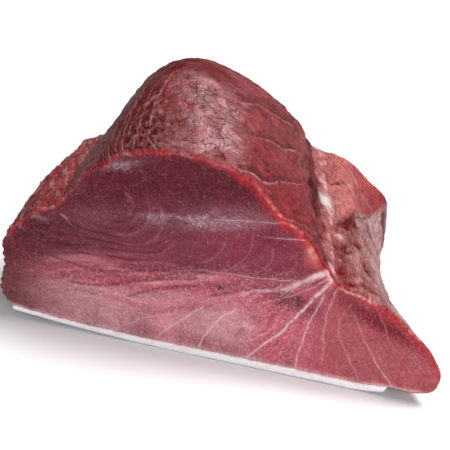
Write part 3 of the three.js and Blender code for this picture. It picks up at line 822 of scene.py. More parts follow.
at_knot = bell(cut_x + 0.4 * coarse - KNOT[0] - 0.5, 3.4) * bell(cut_z - KNOT[1], 5)
knot = np.maximum(at_knot, 0.8 * cut_spot(-53, 85, 7, 1.7, 0.56))
knot_hole = bell(cut_x - 0.6 * (cut_z - 82.5) + 47.5, 1.1) * bell(cut_z - 82.5, 2.4)
frayed = (1 - ease(apart, 0, 9)) * (1 - ease(cut_x, -262, -246)) * ease(cut_z, 66, 76)
mottled = cut_spot(-275, 84, 34, 15, -0.2) * ease(cut_noise(6, 5, 127), -0.1, 0.4)
lobe_edge = (1 - ease(apart + 0.8 * coarse, 0.8, 3.2)) * between(cut_x, -39, -14, 4)
fat_edge = bell(cut_z - front_cut[:1, :, 2], 2.2 + 1.2 * coarse)
cut_tone = painted(CUT_CORE, [
    (CUT_PURPLE, ease(cut_x, -170, -108) * (1 - ease(above_line, 30, 62))),
    (CUT_PURPLE, 0.6 * between(cut_x, -225, -150, 20) * (1 - ease(above_line, 12, 46))),
    (CUT_DEEP, 0.8 * cut_spot(-84, 106, 22, 9)),
    (CUT_TOP, ease(above_line, 44, 66)),
    (CUT_MIDDLE, pink),
    (CUT_LOW, low * (1 + 0.5 * bands)),
    (CUT_LOW, 0.6 * pink * ease(bands, 0.1, 0.6) * (1 - ease(cut_x, -140, -100))),
    (CUT_LOW, 0.4 * pink * (1 - ease(cut_x, -240, -180)) * (1 - ease(above_line, -30, -4))),
    (CUT_LOW_LEFT, low * (1 - ease(cut_x, -250, -190)) * 0.9),
    (CUT_BY_FAT, 0.8 * low * (1 - ease(cut_z, 12, 24)) * ease(cut_x, -215, -180)),
    (CUT_LEFT, 0.5 * pink * (1 - ease(cut_x + 5 * patchy, -282, -226))),
    (CUT_LOBE, ease(cut_x, -58, -36) * (1 - ease(above_line, 0, 8))),
    (CUT_LOBE_DARK, 1.1 * cut_spot(-10, 58.5, 36, 9, -0.45)),
    (CUT_MURKY, 1.3 * cut_spot(-72, 61, 21, 8, -0.25) * (0.8 + 0.6 * coarse)),
    (CUT_MURKY_DARK, 0.9 * cut_spot(-69, 60, 14, 6) * ease(coarse, 0.0, 0.5)),
    (CUT_HEEL, (1 - ease(cut_x + 5 * patchy, -306, -260)) * 0.95 * (1 - ease(cut_z, 50, 64))),
    (CUT_LEFT_TOP, (1 - ease(cut_x, -286, -236)) * ease(above_line, 2, 20)),
    (CUT_SHEEN, 0.4 * painted_sheen),
    (KNOT_WHITE, 1.6 * knot * (0.8 + 0.4 * coarse)),
    (KNOT_RED, 1.3 * knot_hole),
    # A painted glint: a mauve spot high on the left of the cut.
    (GLINT_MAUVE, 1.1 * cut_spot(-275, 91, 6, 2.4) * (0.8 + 0.7 * coarse)),
    (FRAYED_PINK, 0.9 * frayed * ease(coarse, 0.05, 0.5)),
    (BRUISE_RED, 0.8 * cut_spot(-246, 89, 6, 2.2)),
    (MOTTLED_BROWN, 0.75 * mottled),
    (VESSEL_DARK, 1.4 * cut_spot(-127, 60.5, 1.6, 1.2)),
    (VESSEL_RED, 1.2 * cut_spot(-257, 47, 2, 1.4)),
    (CUT_LOW_SPOT, 0.9 * cut_spot(-105, 34, 5, 3)),
    # Painted glow of the thin flesh just inside the upper edge, with painted glints.
    (RIM_GLOW_DARK, rim_glow * (1 - ease(cut_x, -128, -110))),
    (CUT_RIM_GLOW, rim_glow * (1 - at_knot) * ease(cut_x, -128, -110) * (0.85 + 0.5 * coarse)),
    (CUT_RIM_GLOW_LOW, 0.9 * cut_spot(-57, 97, 5.5, 7) * (0.9 + 0.5 * coarse)),
    (CUT_RIM_GLOW_HIGH, 1.1 * cut_spot(-58.5, 102.5, 3.4, 4.5) * (0.9 + 0.7 * coarse)),
    (CUT_RIM_GLINT, rim_glow * ease(coarse, 0.3, 0.7) * (1 - ease(apart, 0.5, 2.5))),
    (LOBE_EDGE_PINK, lobe_edge * (0.9 + 0.6 * coarse)),
    (FAT_EDGE_PINK, 0.9 * fat_edge),
])
cut_tone *= (1 + 0.08 * patchy + 0.09 * coarse + 0.2 * brushed * ease(above_line, 6, 40))[..., None]

# Streaks of the grain follow the rings on the left and the fan of septa on the right.
FAN_RISE = 14  # the streaks turn round a point this far above the knot
fan_turn = np.arctan2(cut_z - KNOT[1] - FAN_RISE, cut_x - KNOT[0])
fan_share = ease(cut_x + 0.5 * (cut_z - 60), -160, -110) * (1 - ease(above_line, -4, 4))
grain_across = (1 - fan_share) * ring * 7 + fan_share * fan_turn * 70
grain_along = (1 - fan_share) * cut_x + fan_share * np.hypot(cut_x - KNOT[0], cut_z - KNOT[1])
streaked = between(above_line, -70, 4, 8) * ease(cut_x, -300, -230) * (1 - 0.8 * ease(cut_x, -80, -50))
feather_height = np.interp(
    cut_x, [-162, -150, -122, -99, -76, -60, -50], [44, 46, 51, 60, 67, 77, 86])
feather = bell(cut_z - feather_height - 2, 6) * between(cut_x, -158, -58, 10)
stroke = 0.24 * streaked + 0.3 * feather
ring_strength = (
    0.9 * ease(ring, 0.5, 1.5) * (1 - ease(ring, 7, 9)) * (1 - ease(cut_x, -186, -140))
    * (1 - ease(above_line, 34, 60)) * ease(cut_x, -290, -255) * ease(patchy, -0.9, 0.1)
)

# The mesh: the outside, the two cuts and the hidden underside share their edge points.
columns = len(stops)
outside_index = np.arange(outside[..., 0].size).reshape(share.size, columns)
blocks = [outside.reshape(-1, 3)]


def index_cut(edge_row, points):
    """Numbers the points of a cut: its sides and top are the outline's own, the rest new."""
    index = np.zeros(points.shape[:2], int)
    index[:, 0] = edge_row[:SIDE_STEPS + 1]
    index[-1] = edge_row[SIDE_STEPS:SIDE_STEPS + TOP_STEPS + 1]
    index[:, -1] = edge_row[SIDE_STEPS + TOP_STEPS:][::-1]
    start = sum(len(block) for block in blocks)
    new = points[:-1, 1:-1].reshape(-1, 3)
    index[:-1, 1:-1] = start + np.arange(len(new)).reshape(SIDE_STEPS, TOP_STEPS - 1)
    blocks.append(new)
    return index


# The knife leaves the front cut very slightly wavy, and the septa stand a little proud.
knife_waves = 0.5 * cut_noise(45, 30, 121) + 0.12 * cut_noise(6, 4, 123)
away = ease(apart, 0, 8) * ease(cut_z, 8, 20)
proud = sum(
    height * strength * bell(offset, np.maximum(1.2, width))
    for height, (offset, width, strength) in zip((0.35, 0.35, -0.3, -0.3), cut_lines.values())
)
front_cut[1:-1, 1:-1, 1] -= (away * (knife_waves + proud))[1:-1, 1:-1]
back_cut[1:-1, 1:-1, 1] += (away * (knife_waves[:, ::-1] + proud))[1:-1, 1:-1]
front_index = index_cut(outside_index[0], front_cut)
back_index = index_cut(outside_index[-1], back_cut)

under_share = np.linspace(0, 1, UNDER_STEPS + 1)[1:-1]
left_edge = outside[1:-1, :1]
right_edge = outside[1:-1, -1:]
under = left_edge + (right_edge - left_edge) * under_share[None, :, None]
under[..., 1] = share[1:-1, None] * depth_at(under[..., 0])
under[..., 2] = fat_height(under_share, under[..., 0], under[..., 1])
start = sum(len(block) for block in blocks)
under_index = np.zeros((share.size - 2, UNDER_STEPS + 1), int)
under_index[:, 0] = outside_index[1:-1, 0]
under_index[:, -1] = outside_index[1:-1, -1]
under_index[:, 1:-1] = start + np.arange(under[..., 0].size).reshape(under.shape[:2])
blocks.append(under.reshape(-1, 3))


def quads(index):
    """Four-sided faces over a grid of point numbers, turned from columns towards rows."""
    corners = [index[:-1, :-1], index[:-1, 1:], index[1:, 1:], index[1:, :-1]]
    return np.stack(corners, -1).reshape(-1, 4)


def joining_strip(near, far):
    """Faces between a fine row and a coarse one: each takes the fine points of its width."""
    stride = (len(near) - 1) // (len(far) - 1)
    return [
        [*near[place * stride:(place + 1) * stride + 1], far[place + 1], far[place]]
        for place in range(len(far) - 1)
    ]


outside_faces = quads(outside_index)
cut_faces = np.concatenate([quads(front_index), quads(back_index)[:, ::-1]])
under_faces = [list(face) for face in quads(under_index)[:, ::-1]]
under_faces += [face[::-1] for face in joining_strip(front_index[0], under_index[0])]
under_faces += joining_strip(back_index[0], under_index[-1])
points = np.concatenate(blocks) * MM + SKIN_END
faces = outside_faces.tolist() + cut_faces.tolist() + [[int(i) for i in face] for face in under_faces]
flesh_mesh = bpy.data.meshes.new("loin_flesh_body")
flesh_mesh.from_pydata(points.tolist(), [], faces)


def store(mesh, name, kind, pairs):
    """Writes a value for each point, from (point numbers, values) pairs; the rest are 0."""
    size = {"FLOAT": 1, "FLOAT_VECTOR": 3, "FLOAT_COLOR": 4}[kind]
    held = np.zeros((len(mesh.vertices), size), np.float32)
    for index, values in pairs:
        values = np.asarray(values, np.float32).reshape(index.size, -1)
        held[index.ravel(), :values.shape[1]] = values
    field = {"FLOAT": "value", "FLOAT_VECTOR": "vector", "FLOAT_COLOR": "color"}[kind]
    mesh.attributes.new(name, kind, "POINT").data.foreach_set(field, held.ravel())


both_cuts = (front_index, back_index)
flat_tone = np.broadcast_to(linear(CUT_MIDDLE), under.shape)
tone_pairs = [(index, cut_tone) for index in both_cuts]
store(flesh_mesh, "tone", "FLOAT_COLOR",
      tone_pairs + [(outside_index, tone), (under_index[:, 1:-1], flat_tone)])
store(flesh_mesh, "way", "FLOAT_VECTOR", [(outside_index, np.stack([girth, behind, 0 * girth], -1))])
threaded = np.clip(0.9 * on_shoulder + on_heel + 0.4 * on_flank + on_wall + 0.25 * on_facet
                   + 0.6 * on_fascia, 0, 1)
zones = {
    "net": on_net * (1 - rim_glow_here), "holes": with_holes * (1 - rim_glow_here), "threaded": threaded,
    "seam_offset": seam_offset, "seam_width": seam_width, "seam_strength": seam_strength,
    "line_offset": line_offset, "line_width": line_width, "line_strength": line_strength,
}
for name, values in zones.items():
    store(flesh_mesh, name, "FLOAT", [(outside_index, values)])
grain = np.stack([grain_across, grain_along, 0 * cut_x], -1)
store(flesh_mesh, "grain", "FLOAT_VECTOR", [(index, grain) for index in both_cuts])
in_cut = {"ring": ring, "ring_gap": ring_gap, "ring_strength": ring_strength,
          "streaked": streaked, "stroke": stroke, "painted_sheen": np.clip(painted_sheen, 0, 1)}
for name, (offset, width, strength) in cut_lines.items():
    in_cut |= {name + "_offset": offset, name + "_width": width, name + "_strength": strength}
for name, values in in_cut.items():
    store(flesh_mesh, name, "FLOAT", [(index, values) for index in both_cuts])
slots_of_faces = np.zeros(len(faces), np.int32)
slots_of_faces[len(outside_faces):len(outside_faces) + len(cut_faces)] = 1
flesh_mesh.polygons.foreach_set("material_index", slots_of_faces)
flesh_mesh.polygons.foreach_set("use_smooth", np.ones(len(faces), bool))
flesh_mesh.update()
flesh_body = bpy.data.objects.new("loin_flesh_body", flesh_mesh)
bpy.context.scene.collection.objects.link(flesh_body)
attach(flesh_body, "root")
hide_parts("loin_flesh")


class Flow:
    """What runs through a node tree: a number, a vector, a colour or a shader. The sum,
    difference and product of flows and numbers are Math nodes of the same tree."""

    def __init__(self, made, output=0):
        self.tree = made.id_data
        self.socket = made.outputs[output]

    def __add__(self, other):
        return maths("ADD", self, other)

    def __sub__(self, other):
        return maths("SUBTRACT", self, other)

    def __rsub__(self, other):
        return maths("SUBTRACT", other, self)

    def __mul__(self, other):
        return maths("MULTIPLY", self, other)

    def __abs__(self):
        return maths("ABSOLUTE", self)

    __radd__ = __add__
    __rmul__ = __mul__


def node(tree, kind, inputs=None, **settings):
    """A shader node with its settings, and its inputs joined to flows or given values."""
    made = tree.nodes.new(kind)
    for name, value in settings.items():
        setattr(made, name, value)
    for key, value in (inputs or {}).items():
        if isinstance(value, Flow):
            tree.links.new(value.socket, made.inputs[key])
        else:
            made.inputs[key].default_value = value
    return made


def maths(operation, *values):
    """The result of a Math node on values, of which one at least is a flow."""
    tree = next(value.tree for value in values if isinstance(value, Flow))
    return Flow(node(tree, "ShaderNodeMath", dict(enumerate(values)), operation=operation))


def stored(tree, name, output="Fac"):
    """A value that the mesh holds for each of its points."""
    return Flow(node(tree, "ShaderNodeAttribute", attribute_name=name), output)


def stretched(vector, scale):
    """A vector multiplied by a scale along each of its directions."""
    inputs = {0: vector, 1: scale}
    return Flow(node(vector.tree, "ShaderNodeVectorMath", inputs, operation="MULTIPLY"))


def noise(vector, scale, detail=3, roughness=0.55, distortion=0):
    """Noise from 0 to 1 whose grains are one unit of the stretched vector across."""
    inputs = {"Vector": stretched(vector, scale), "Scale": 1, "Detail": detail,
              "Roughness": roughness, "Distortion": distortion}
    return Flow(node(vector.tree, "ShaderNodeTexNoise", inputs), "Fac")


def step(value, start, end, low=0, high=1):
    """Low before start, high after end, and a smooth step in between."""
    inputs = {"Value": value, "From Min": start, "From Max": end, "To Min": low, "To Max": high}
    return Flow(node(value.tree, "ShaderNodeMapRange", inputs, interpolation_type="SMOOTHSTEP"))


def coated(colour, over, amount):
    """A colour covered by another by an amount from 0 to 1."""
    below = colour if isinstance(colour, Flow) else (*linear(colour), 1)
    inputs = {0: amount, 6: below, 7: (*linear(over), 1)}
    return Flow(node(amount.tree, "ShaderNodeMix", inputs, data_type="RGBA"), 2)


def shaded(colour, factor):
    """A colour made lighter or darker by a factor."""
    inputs = {0: colour, "Scale": factor}
    return Flow(node(colour.tree, "ShaderNodeVectorMath", inputs, operation="SCALE"))


def new_group(name, inputs, outputs):
    """An empty node group with its named inputs and outputs, and what its inputs give."""
    tree = bpy.data.node_groups.new(name, "ShaderNodeTree")
    for side, labels in (("INPUT", inputs), ("OUTPUT", outputs)):
        for label in labels:
            kind = "NodeSocketVector" if label == "Place" else "NodeSocketFloat"
            tree.interface.new_socket(label, in_out=side, socket_type=kind)
    entry = tree.nodes.new("NodeGroupInput")
    return tree, {label: Flow(entry, label) for label in inputs}


def placed(tree, group, **inputs):
    """What a node group gives when it is put into a material with these inputs."""
    made = node(tree, "ShaderNodeGroup", inputs, node_tree=group)
    return {output.name: Flow(made, output.name) for output in made.outputs}


# A thin line of tissue: strongest on the line itself and gone at about its half width, with
# a wider faint band round it, and broken where a noise is low.
strand_line, given = new_group(
    "strand_line", ["Offset", "Width", "Strength", "Shift", "Place", "Gaps"], ["Amount"])
from_line = abs(given["Offset"] - given["Shift"])
core = step(from_line, 0.15 * given["Width"], 0.8 * given["Width"], 0.8, 0)
halo = step(from_line, 0, given["Width"] + 1.4, 0.2, 0)
rough = noise(given["Place"], (0.3, 0.3, 0.3), 3, 0.6)
whole = step(rough, 0.32, 0.6, 1 - given["Gaps"], 1)
node(strand_line, "NodeGroupOutput", {"Amount": (core + halo) * given["Strength"] * whole})

# Filaments: thin curved lines where a stretched noise passes its middle, in broken runs.
filaments, given = new_group("filaments", ["Place", "Width", "Gaps"], ["Amount"])
level = abs(noise(given["Place"], (1, 1, 1), 2, 0.5) - 0.5)
runs = noise(given["Place"], (0.8, 2.6, 0.8), 2, 0.6)
kept = step(runs, given["Gaps"] - 0.08, given["Gaps"] + 0.08)
node(filaments, "NodeGroupOutput", {"Amount": step(level, 0, given["Width"], 1, 0) * kept})

# A wrinkled net: plates of uneven brightness with thin dark cracks between them, and the
# round middles of the plates.
wrinkled_net, given = new_group("wrinkled_net", ["Place", "Crack"], ["Crack", "Shade", "Middle"])
bending = {"Vector": given["Place"], "Scale": 0.7, "Detail": 3}
bend = Flow(node(wrinkled_net, "ShaderNodeTexNoise", bending), "Color")
bent = node(wrinkled_net, "ShaderNodeVectorMath", {0: given["Place"], 1: bend}, operation="ADD")
cells = {"Vector": Flow(bent), "Scale": 1}
gap = node(wrinkled_net, "ShaderNodeTexVoronoi", cells, feature="DISTANCE_TO_EDGE")
plate = node(wrinkled_net, "ShaderNodeTexVoronoi", cells)
plate_value = node(wrinkled_net, "ShaderNodeSeparateColor", {0: Flow(plate, "Color")})
node(wrinkled_net, "NodeGroupOutput", {
    "Crack": step(Flow(gap, "Distance"), 0, given["Crack"], 1, 0),
    "Shade": step(Flow(plate_value), 0, 1, 0.78, 1.22),
    "Middle": step(Flow(plate, "Distance"), 0.15, 0.5, 1, 0),
})

# Wet raw flesh: fine grains that vary the tone, and scattered painted glints of its moist surface.
wet_grain, given = new_group(
    "wet_grain", ["Place", "Grain", "Flecks"], ["Shade", "Fleck", "Height"])
fine = noise(given["Place"], (0.7, 0.7, 0.7), 2, 0.6)
mixed = 0.7 * fine + 0.3 * noise(given["Place"], (0.22, 0.22, 0.22), 2)
node(wet_grain, "NodeGroupOutput", {
    "Shade": (mixed - 0.5) * given["Grain"] + 1,
    "Fleck": step(fine, 0.48, 0.74) * given["Flecks"],
    "Height": mixed,
})


def stored_line(tree, name, place, shift=0, gaps=0.5, wider=1):
    """The amount of a stored line of tissue, moved sideways by a shift in millimetres."""
    inputs = {
        "Offset": stored(tree, name + "_offset"), "Width": stored(tree, name + "_width") * wider,
        "Strength": stored(tree, name + "_strength"),
    }
    return placed(tree, strand_line, Shift=shift, Place=place, Gaps=gaps, **inputs)["Amount"]


def threads_on(vector, scale, width, gaps):
    """The amount of filaments that follow a stretched vector."""
    place = stretched(vector, scale)
    return placed(vector.tree, filaments, Place=place, Width=width, Gaps=gaps)["Amount"]


def new_material(name):
    """A material with an empty tree, and its point in millimetres."""
    material = bpy.data.materials.new(name)
    material.use_nodes = True
    tree = material.node_tree
    tree.nodes.clear()
    place = Flow(node(tree, "ShaderNodeTexCoord"), "Object")
    return material, tree, stretched(place, (1 / MM, 1 / MM, 1 / MM))


def finish_material(colour, roughness, height, distance, strength=0.5, **fixed):
    """Joins the colour, roughness and bump to a Principled shader with fixed values."""
    tree = colour.tree
    bump = node(tree, "ShaderNodeBump", {"Height": height, "Distance": distance, "Strength": strength})
    inputs = {"Base Color": colour, "Roughness": roughness, "Normal": Flow(bump)}
    shader = node(tree, "ShaderNodeBsdfPrincipled", {**inputs, **fixed})
    node(tree, "ShaderNodeOutputMaterial", {"Surface": Flow(shader)})


FLESH_GLOW = {
    "Subsurface Weight": 0.06, "Subsurface Radius": (1.0, 0.2, 0.16), "Subsurface Scale": 0.003,
    "Specular IOR Level": 0.02, "Coat Roughness": 0.22,
}
CUT_LIGHT = 1.15  # light that falls on the front cut, as a share of full white
OUTSIDE_LIGHT = 1.5  # the same for the outside
HOLE_SHADE = (66, 16, 22)
HOLE_EDGE = (178, 118, 116)
GLINT_PINK = (232, 186, 182)
STROKE_PINK = (222, 178, 184)
SCRATCH_PINK = (196, 160, 168)
RING_DARK = (84, 30, 44)
CREASE_PALE = (206, 150, 158)
CREASE_DARK = (120, 42, 58)
SEPTA_WHITE = (238, 196, 200)
CUT_GLINT = (230, 194, 200)
SHEEN_WHITE = (222, 200, 212)

# The outside: the stored tone with fibres that run front to back, cracked plates on the
# membrane, painted shade in the hollows beside it, pale threads where the flesh is ragged,
# seams, strands and painted glints.
outside_finish, tree, place = new_material("loin_outside")
way = stored(tree, "way", "Vector")
net = stored(tree, "net")
ragged = stored(tree, "threaded")
fibre = noise(way, (0.8, 0.08, 1), 4, 0.62, 0.3)
grained = placed(tree, wet_grain, Place=place, Grain=2.3, Flecks=0.07)
colour = shaded(stored(tree, "tone", "Color"), grained["Shade"])
colour = shaded(colour, (fibre - 0.5) * (1.6 * ragged + 0.4) + 1)

plates = placed(tree, wrinkled_net, Place=stretched(way, (0.12, 0.11, 1)), Crack=0.09)
colour = shaded(colour, (plates["Shade"] - 1) * net + 1)
uneven = noise(way, (0.06, 0.06, 1), 2)
cracks = plates["Crack"] * step(uneven, 0.46, 0.56)
cracks = maths("MAXIMUM", cracks, threads_on(way, (0.16, 0.14, 1), 0.045, 0.52))
wrinkles = threads_on(way, (0.3, 0.22, 1), 0.045, 0.56) * step(uneven, 0.4, 0.58, 0.5, 0)
cracks = maths("MAXIMUM", cracks, wrinkles) * net
colour = coated(colour, CRACK_BROWN, 0.7 * cracks)

holes = placed(tree, wrinkled_net, Place=stretched(way, (0.13, 0.1, 1)), Crack=0.16)
holes_here = stored(tree, "holes")
# Painted shade in the middles of the hollows.
colour = coated(colour, HOLE_SHADE, 0.5 * holes["Middle"] * holes_here)
colour = coated(colour, HOLE_EDGE, 0.4 * holes["Crack"] * holes_here)

threads = threads_on(way, (0.3, 0.045, 1), 0.04, 0.48) + threads_on(way, (0.24, 0.14, 1), 0.03, 0.52)
colour = coated(colour, THREAD_PINK, 0.6 * threads * ragged)
seam = stored_line(tree, "seam", place, 0, 1.0)
line = stored_line(tree, "line", place, 0, 0.8)
# Painted shade in the groove behind each seam.
colour = coated(colour, SEAM_SHADE, stored_line(tree, "seam", place, 1.5, 0.8))
colour = coated(colour, SEAM_PINK, seam)
colour = coated(colour, STRAND_PINK, line)
# Painted glints of the wet surface.
colour = coated(colour, GLINT_PINK, grained["Fleck"])
colour = shaded(colour, 1 / OUTSIDE_LIGHT)
height = grained["Height"] + fibre - 0.6 * cracks + 0.5 * (line + seam)
gloss = step(grained["Height"], 0.35, 0.65, 0.34, 0.5)
membrane_coat = {"Coat Weight": 0.25 * net}
finish_material(colour, gloss, height, 0.0022, 0.8, **membrane_coat, **FLESH_GLOW)

# The cuts: the stored tone with streaks along the grain, faint growth rings, creases with a
# pale band below them, the septa, painted glints and a painted sheen in fine dashes.
cut_finish, tree, place = new_material("loin_cut")
grain = stored(tree, "grain", "Vector")
streaked = stored(tree, "streaked")
streak = 0.6 * noise(grain, (0.34, 0.025, 1), 3, 0.6) + 0.4 * noise(grain, (0.9, 0.08, 1), 3, 0.6)
grained = placed(tree, wet_grain, Place=place, Grain=1.15, Flecks=0.09)
colour = shaded(stored(tree, "tone", "Color"), grained["Shade"])
colour = shaded(colour, (streak - 0.5) * (1.4 * streaked + 0.6) + 1)
strokes = threads_on(grain, (0.28, 0.03, 1), 0.05, 0.5) * stored(tree, "stroke")
colour = coated(colour, STROKE_PINK, strokes)
colour = coated(colour, SCRATCH_PINK, 0.3 * threads_on(place, (0.16, 0.2, 0.2), 0.02, 0.56))
ring = stored(tree, "ring")
ring_line = placed(
    tree, strand_line, Offset=(ring - maths("ROUND", ring)) * stored(tree, "ring_gap"), Width=1.6,
    Strength=stored(tree, "ring_strength"), Shift=0, Place=place, Gaps=0.4)["Amount"]
colour = coated(colour, RING_DARK, 0.8 * ring_line)
dark_lines = []
for name in ("crease", "more_crease"):
    colour = coated(colour, CREASE_PALE, 0.22 * stored_line(tree, name, place, -2.8, 0.8, 2.4))
    dark_lines.append(stored_line(tree, name, place, 0, 0.25, 1.8))
    colour = coated(colour, CREASE_DARK, 0.75 * dark_lines[-1])
pale_lines = []
for name in ("septum", "more_septum"):
    pale_lines.append(stored_line(tree, name, place, 0, 0.6, 0.8))
    colour = coated(colour, SEPTA_WHITE, pale_lines[-1])
# Painted glints of the wet cut, most where it is streaked.
colour = coated(colour, CUT_GLINT, grained["Fleck"] * (3.2 * streaked + 0.6))
dashes = noise(place, (0.5, 0.9, 0.95), 3, 0.7)
# Painted sheen in fine dashes where the cut catches the light.
colour = coated(colour, SHEEN_WHITE, stored(tree, "painted_sheen") * step(dashes, 0.42, 0.7, 0.04, 0.55))
colour = shaded(colour, 1 / CUT_LIGHT)
height = grained["Height"] + 0.4 * streak + 0.4 * (pale_lines[0] + pale_lines[1])
height = height - 0.4 * (dark_lines[0] + dark_lines[1])
gloss = step(grained["Height"], 0.35, 0.65, 0.36, 0.48)
finish_material(colour, gloss, height, 0.0005, 0.5, **FLESH_GLOW)
flesh_mesh.materials.append(outside_finish)
flesh_mesh.materials.append(cut_finish)


# ---------------------------------------------------------------------------------------------
# The fat: a band of firm white fat between the muscle and the skin, left on when the block was
# cut. It is a few millimetres thick, most of all right of the middle, and shows at every side.
# ---------------------------------------------------------------------------------------------

FAT_WHITE = (252, 248, 250)
FAT_PINK = (238, 206, 208)
FAT_BLUSH = (222, 160, 166)
FAT_GREY = (206, 200, 208)
FAT_COLUMNS = 252  # a multiple of 36, so that the flat stretch ends on columns
FAT_LAYERS = 6
FAT_BULGE = 0.35
END_TAPER = 3.5


def layer_shell(low_height, high_height, columns_across, layers, bulge, top_taper, low_taper):
    """A closed layer under the muscle: top and underside from two height functions, each
    drawn in by its taper towards the right end, and sides between them that stand out by
    bulge * 4 t (1 - t), where t is the share of the height."""
    wide = np.linspace(0, 1, columns_across + 1)
    left = outside[:, 0, 0][:, None]
    right = outside[:, -1, 0][:, None]
    x = left + (right - left) * wide - top_taper * ease(wide, 0.9, 1)
    low_x = left + (right - left) * wide - low_taper * ease(wide, 0.9, 1)
    y = share[:, None] * depth_at(x)
    low = low_height(wide, x, y)
    high = high_height(wide, x, y)
    number = np.arange(x.size).reshape(x.shape)
    low_number = number + x.size
    edge = np.concatenate([
        number[0], number[1:, -1], number[-1, -2::-1], number[-2:0:-1, 0],
    ])
    shell = [np.stack([x, y, high], -1).reshape(-1, 3), np.stack([low_x, y, low], -1).reshape(-1, 3)]
    outward = np.zeros(x.shape + (2,))
    outward[0, :, 1] = -1
    outward[-1, :, 1] = 1
    outward[:, 0, 0] = -1
    outward[:, -1, 0] = 1
    outward = outward.reshape(-1, 2)[edge]
    rings = [edge]
    for layer in range(1, layers):
        t = layer / layers
        ring = shell[0][edge] * (1 - t) + shell[1][edge] * t
        ring[:, :2] += outward * bulge * 4 * t * (1 - t)
        rings.append(2 * x.size + (layer - 1) * len(edge) + np.arange(len(edge)))
        shell.append(ring)
    rings.append(edge + x.size)
    around = np.stack([np.append(r, r[0]) for r in rings[::-1]])
    faces = [quads(number), quads(low_number)[:, ::-1], quads(around)]
    below_top = [np.zeros(x.size), np.ones(x.size)]
    below_top += [np.full(len(edge), layer / layers) for layer in range(1, layers)]
    return np.concatenate(shell), np.concatenate(faces), np.concatenate(below_top)


def skin_top(across, x, y):
    """Top of the skin: its underside's height and its thickness, with a slight ripple."""
    return skin_height(across) + SKIN_THICKNESS + 0.12 * rough_noise(x / 9, y / 9, 131)


def skin_under(across, x, y):
    """Underside of the skin, of the same three values as the other heights."""
    return skin_height(across) + 0 * y


def new_piece(name, points, faces, node_name, finish):
    """A smooth mesh object that stands for a node of the frame and carries one finish."""
    mesh = bpy.data.meshes.new(name)
    mesh.from_pydata((points * MM + SKIN_END).tolist(), [], faces.tolist())
    mesh.polygons.foreach_set("use_smooth", np.ones(len(faces), bool))
    mesh.materials.append(finish)
    piece = bpy.data.objects.new(name, mesh)
    bpy.context.scene.collection.objects.link(piece)
    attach(piece, "root")
    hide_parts(node_name)
    return piece


fat_finish, tree, place = new_material("white_fat")
mottle = noise(place, (0.09, 0.09, 0.3), 3)
grained = placed(tree, wet_grain, Place=place, Grain=0.12, Flecks=0.1)
depth_share = stored(tree, "below_top")
blushed = depth_share + 0.5 * noise(place, (0.45, 0.45, 0.3), 3, 0.7)
colour = coated(FAT_WHITE, FAT_PINK, step(mottle, 0.45, 0.7, 0, 0.5))
colour = coated(colour, FAT_BLUSH, step(blushed, 0.15, 0.52, 0.9, 0))
colour = coated(colour, FAT_GREY, step(depth_share, 0.7, 1, 0, 0.25))
colour = shaded(colour, grained["Shade"])
fat_glow = {
    "Subsurface Weight": 0.15, "Subsurface Radius": (1.0, 0.6, 0.55), "Subsurface Scale": 0.003}
finish_material(colour, 0.42, grained["Height"], 0.0004, 0.4, **fat_glow)
points, faces, below_top = layer_shell(
    skin_top, fat_height, FAT_COLUMNS, FAT_LAYERS, FAT_BULGE, 0, END_TAPER)
fat_band = new_piece("fat_band", points, faces, "fat_layer", fat_finish)
store(fat_band.data, "below_top", "FLOAT", [(np.arange(len(below_top)), below_top)])


# ---------------------------------------------------------------------------------------------
# The skin: the fish's own skin, silver-grey with fine scales, left on under the fat. It is
# thinner than a millimetre and curls up a little at both ends of the block.
# ---------------------------------------------------------------------------------------------

SKIN_SILVER = (214, 216, 222)
SKIN_DARK = (136, 142, 156)
SKIN_COLUMNS = FAT_COLUMNS // 2
SKIN_LAYERS = 3
SKIN_BULGE = 0.1

skin_finish, tree, place = new_material("silver_skin_scales")
scale_place = {"Vector": stretched(place, (0.45, 0.38, 0.4)), "Scale": 1}
scales = Flow(node(tree, "ShaderNodeTexVoronoi", scale_place), "Distance")
mottle = noise(place, (0.03, 0.02, 0.1), 4)
colour = coated(SKIN_SILVER, SKIN_DARK, step(mottle, 0.4, 0.65, 0, 0.7))
colour = shaded(colour, step(scales, 0.1, 0.8, 1.08, 0.82))
gloss = step(mottle, 0.3, 0.7, 0.24, 0.4)
finish_material(colour, gloss, scales, 0.0003, 0.5, **{"Coat Weight": 0.3, "Coat Roughness": 0.2})
points, faces = layer_shell(
    skin_under, skin_top, SKIN_COLUMNS, SKIN_LAYERS, SKIN_BULGE, END_TAPER, END_TAPER)[:2]
new_piece("silver_skin_sheet", points, faces, "silver_skin", skin_finish)


# ---------------------------------------------------------------------------------------------
# The studio: a plain white floor, a white sky, a broad key light from the upper right and a
# little behind, a weaker soft light from the front, and the camera.
# ---------------------------------------------------------------------------------------------

SKY_LIGHT = 0.23
KEY_FROM = (0.76, 0.29, 1.36)
KEY_POWER = 3.4
KEY_WIDTH = 26
FRONT_FROM = (0.8, -1.4, 0.6)
FRONT_POWER = 14
FLOOR_WHITE = (0.9, 0.89, 0.9, 1)
FLOOR_REACH = 12.0

scene = bpy.context.scene
lowest, highest = (np.array(corner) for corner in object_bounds())
middle = (lowest + highest) / 2

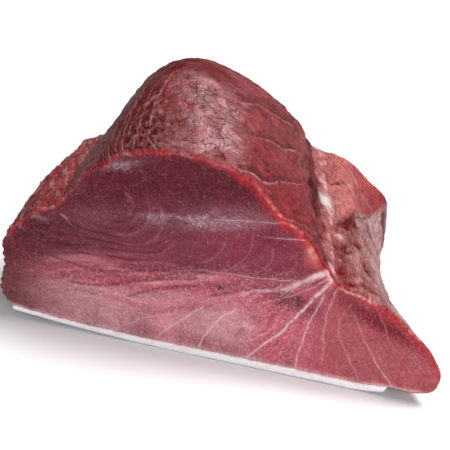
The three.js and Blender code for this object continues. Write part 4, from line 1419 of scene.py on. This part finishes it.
floor_finish, tree = new_material("white_floor")[:2]
matt = node(tree, "ShaderNodeBsdfDiffuse", {"Color": FLOOR_WHITE})
node(tree, "ShaderNodeOutputMaterial", {"Surface": Flow(matt)})
floor_mesh = bpy.data.meshes.new("floor")
floor_corners = [(x * FLOOR_REACH, y * FLOOR_REACH, 0) for x, y in ((-1, -1), (1, -1), (1, 1), (-1, 1))]
floor_mesh.from_pydata(floor_corners, [], [(0, 1, 2, 3)])
floor_mesh.materials.append(floor_finish)
floor = bpy.data.objects.new("floor", floor_mesh)
scene.collection.objects.link(floor)
floor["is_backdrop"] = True

# The sky lights the block softly, and itself shows as plain white.
world = bpy.data.worlds.new("studio_sky")
world.use_nodes = True
sky_tree = world.node_tree
sky_tree.nodes.clear()
white = {"Color": (1, 1, 1, 1)}
lit_sky = Flow(node(sky_tree, "ShaderNodeBackground", {**white, "Strength": SKY_LIGHT}))
seen_sky = Flow(node(sky_tree, "ShaderNodeBackground", {**white, "Strength": 1.0}))
seen = Flow(node(sky_tree, "ShaderNodeLightPath"), "Is Camera Ray")
sky = node(sky_tree, "ShaderNodeMixShader", {0: seen, 1: lit_sky, 2: seen_sky})
node(sky_tree, "ShaderNodeOutputWorld", {"Surface": Flow(sky)})
scene.world = world


def aimed_lamp(name, kind, place, power, **settings):
    """A lamp at a place relative to the middle of the block, facing it."""
    light = bpy.data.lights.new(name, kind)
    light.energy = power
    for key, value in settings.items():
        setattr(light, key, value)
    lamp = bpy.data.objects.new(name, light)
    scene.collection.objects.link(lamp)
    lamp.location = middle + np.array(place)
    away = -np.array(place)
    lamp.rotation_euler = (
        math.atan2(math.hypot(away[0], away[1]), -away[2]), 0, math.atan2(away[0], -away[1]) + math.pi)


aimed_lamp("key_light", "SUN", KEY_FROM, KEY_POWER, angle=math.radians(KEY_WIDTH))
aimed_lamp("front_light", "AREA", FRONT_FROM, FRONT_POWER, size=1.0)

scene.view_settings.view_transform = "Standard"
CAMERA_AZIMUTH = math.radians(22.68)
CAMERA_ELEVATION = math.radians(24)
CAMERA_DISTANCE = 0.901
AIM_OFFSET = (-0.0157, -0.0167, -0.0211)  # from the middle of the block to the aim point
camera_data = bpy.data.cameras.new("camera")
camera_data.lens = 92
camera_data.sensor_width = 36
camera = bpy.data.objects.new("camera", camera_data)
scene.collection.objects.link(camera)
aim = middle + np.array(AIM_OFFSET)
level = math.cos(CAMERA_ELEVATION)
camera.location = aim + CAMERA_DISTANCE * np.array([
    math.sin(CAMERA_AZIMUTH) * level, -math.cos(CAMERA_AZIMUTH) * level, math.sin(CAMERA_ELEVATION)])
camera.rotation_euler = (math.pi / 2 - CAMERA_ELEVATION, 0, CAMERA_AZIMUTH)
scene.camera = camera
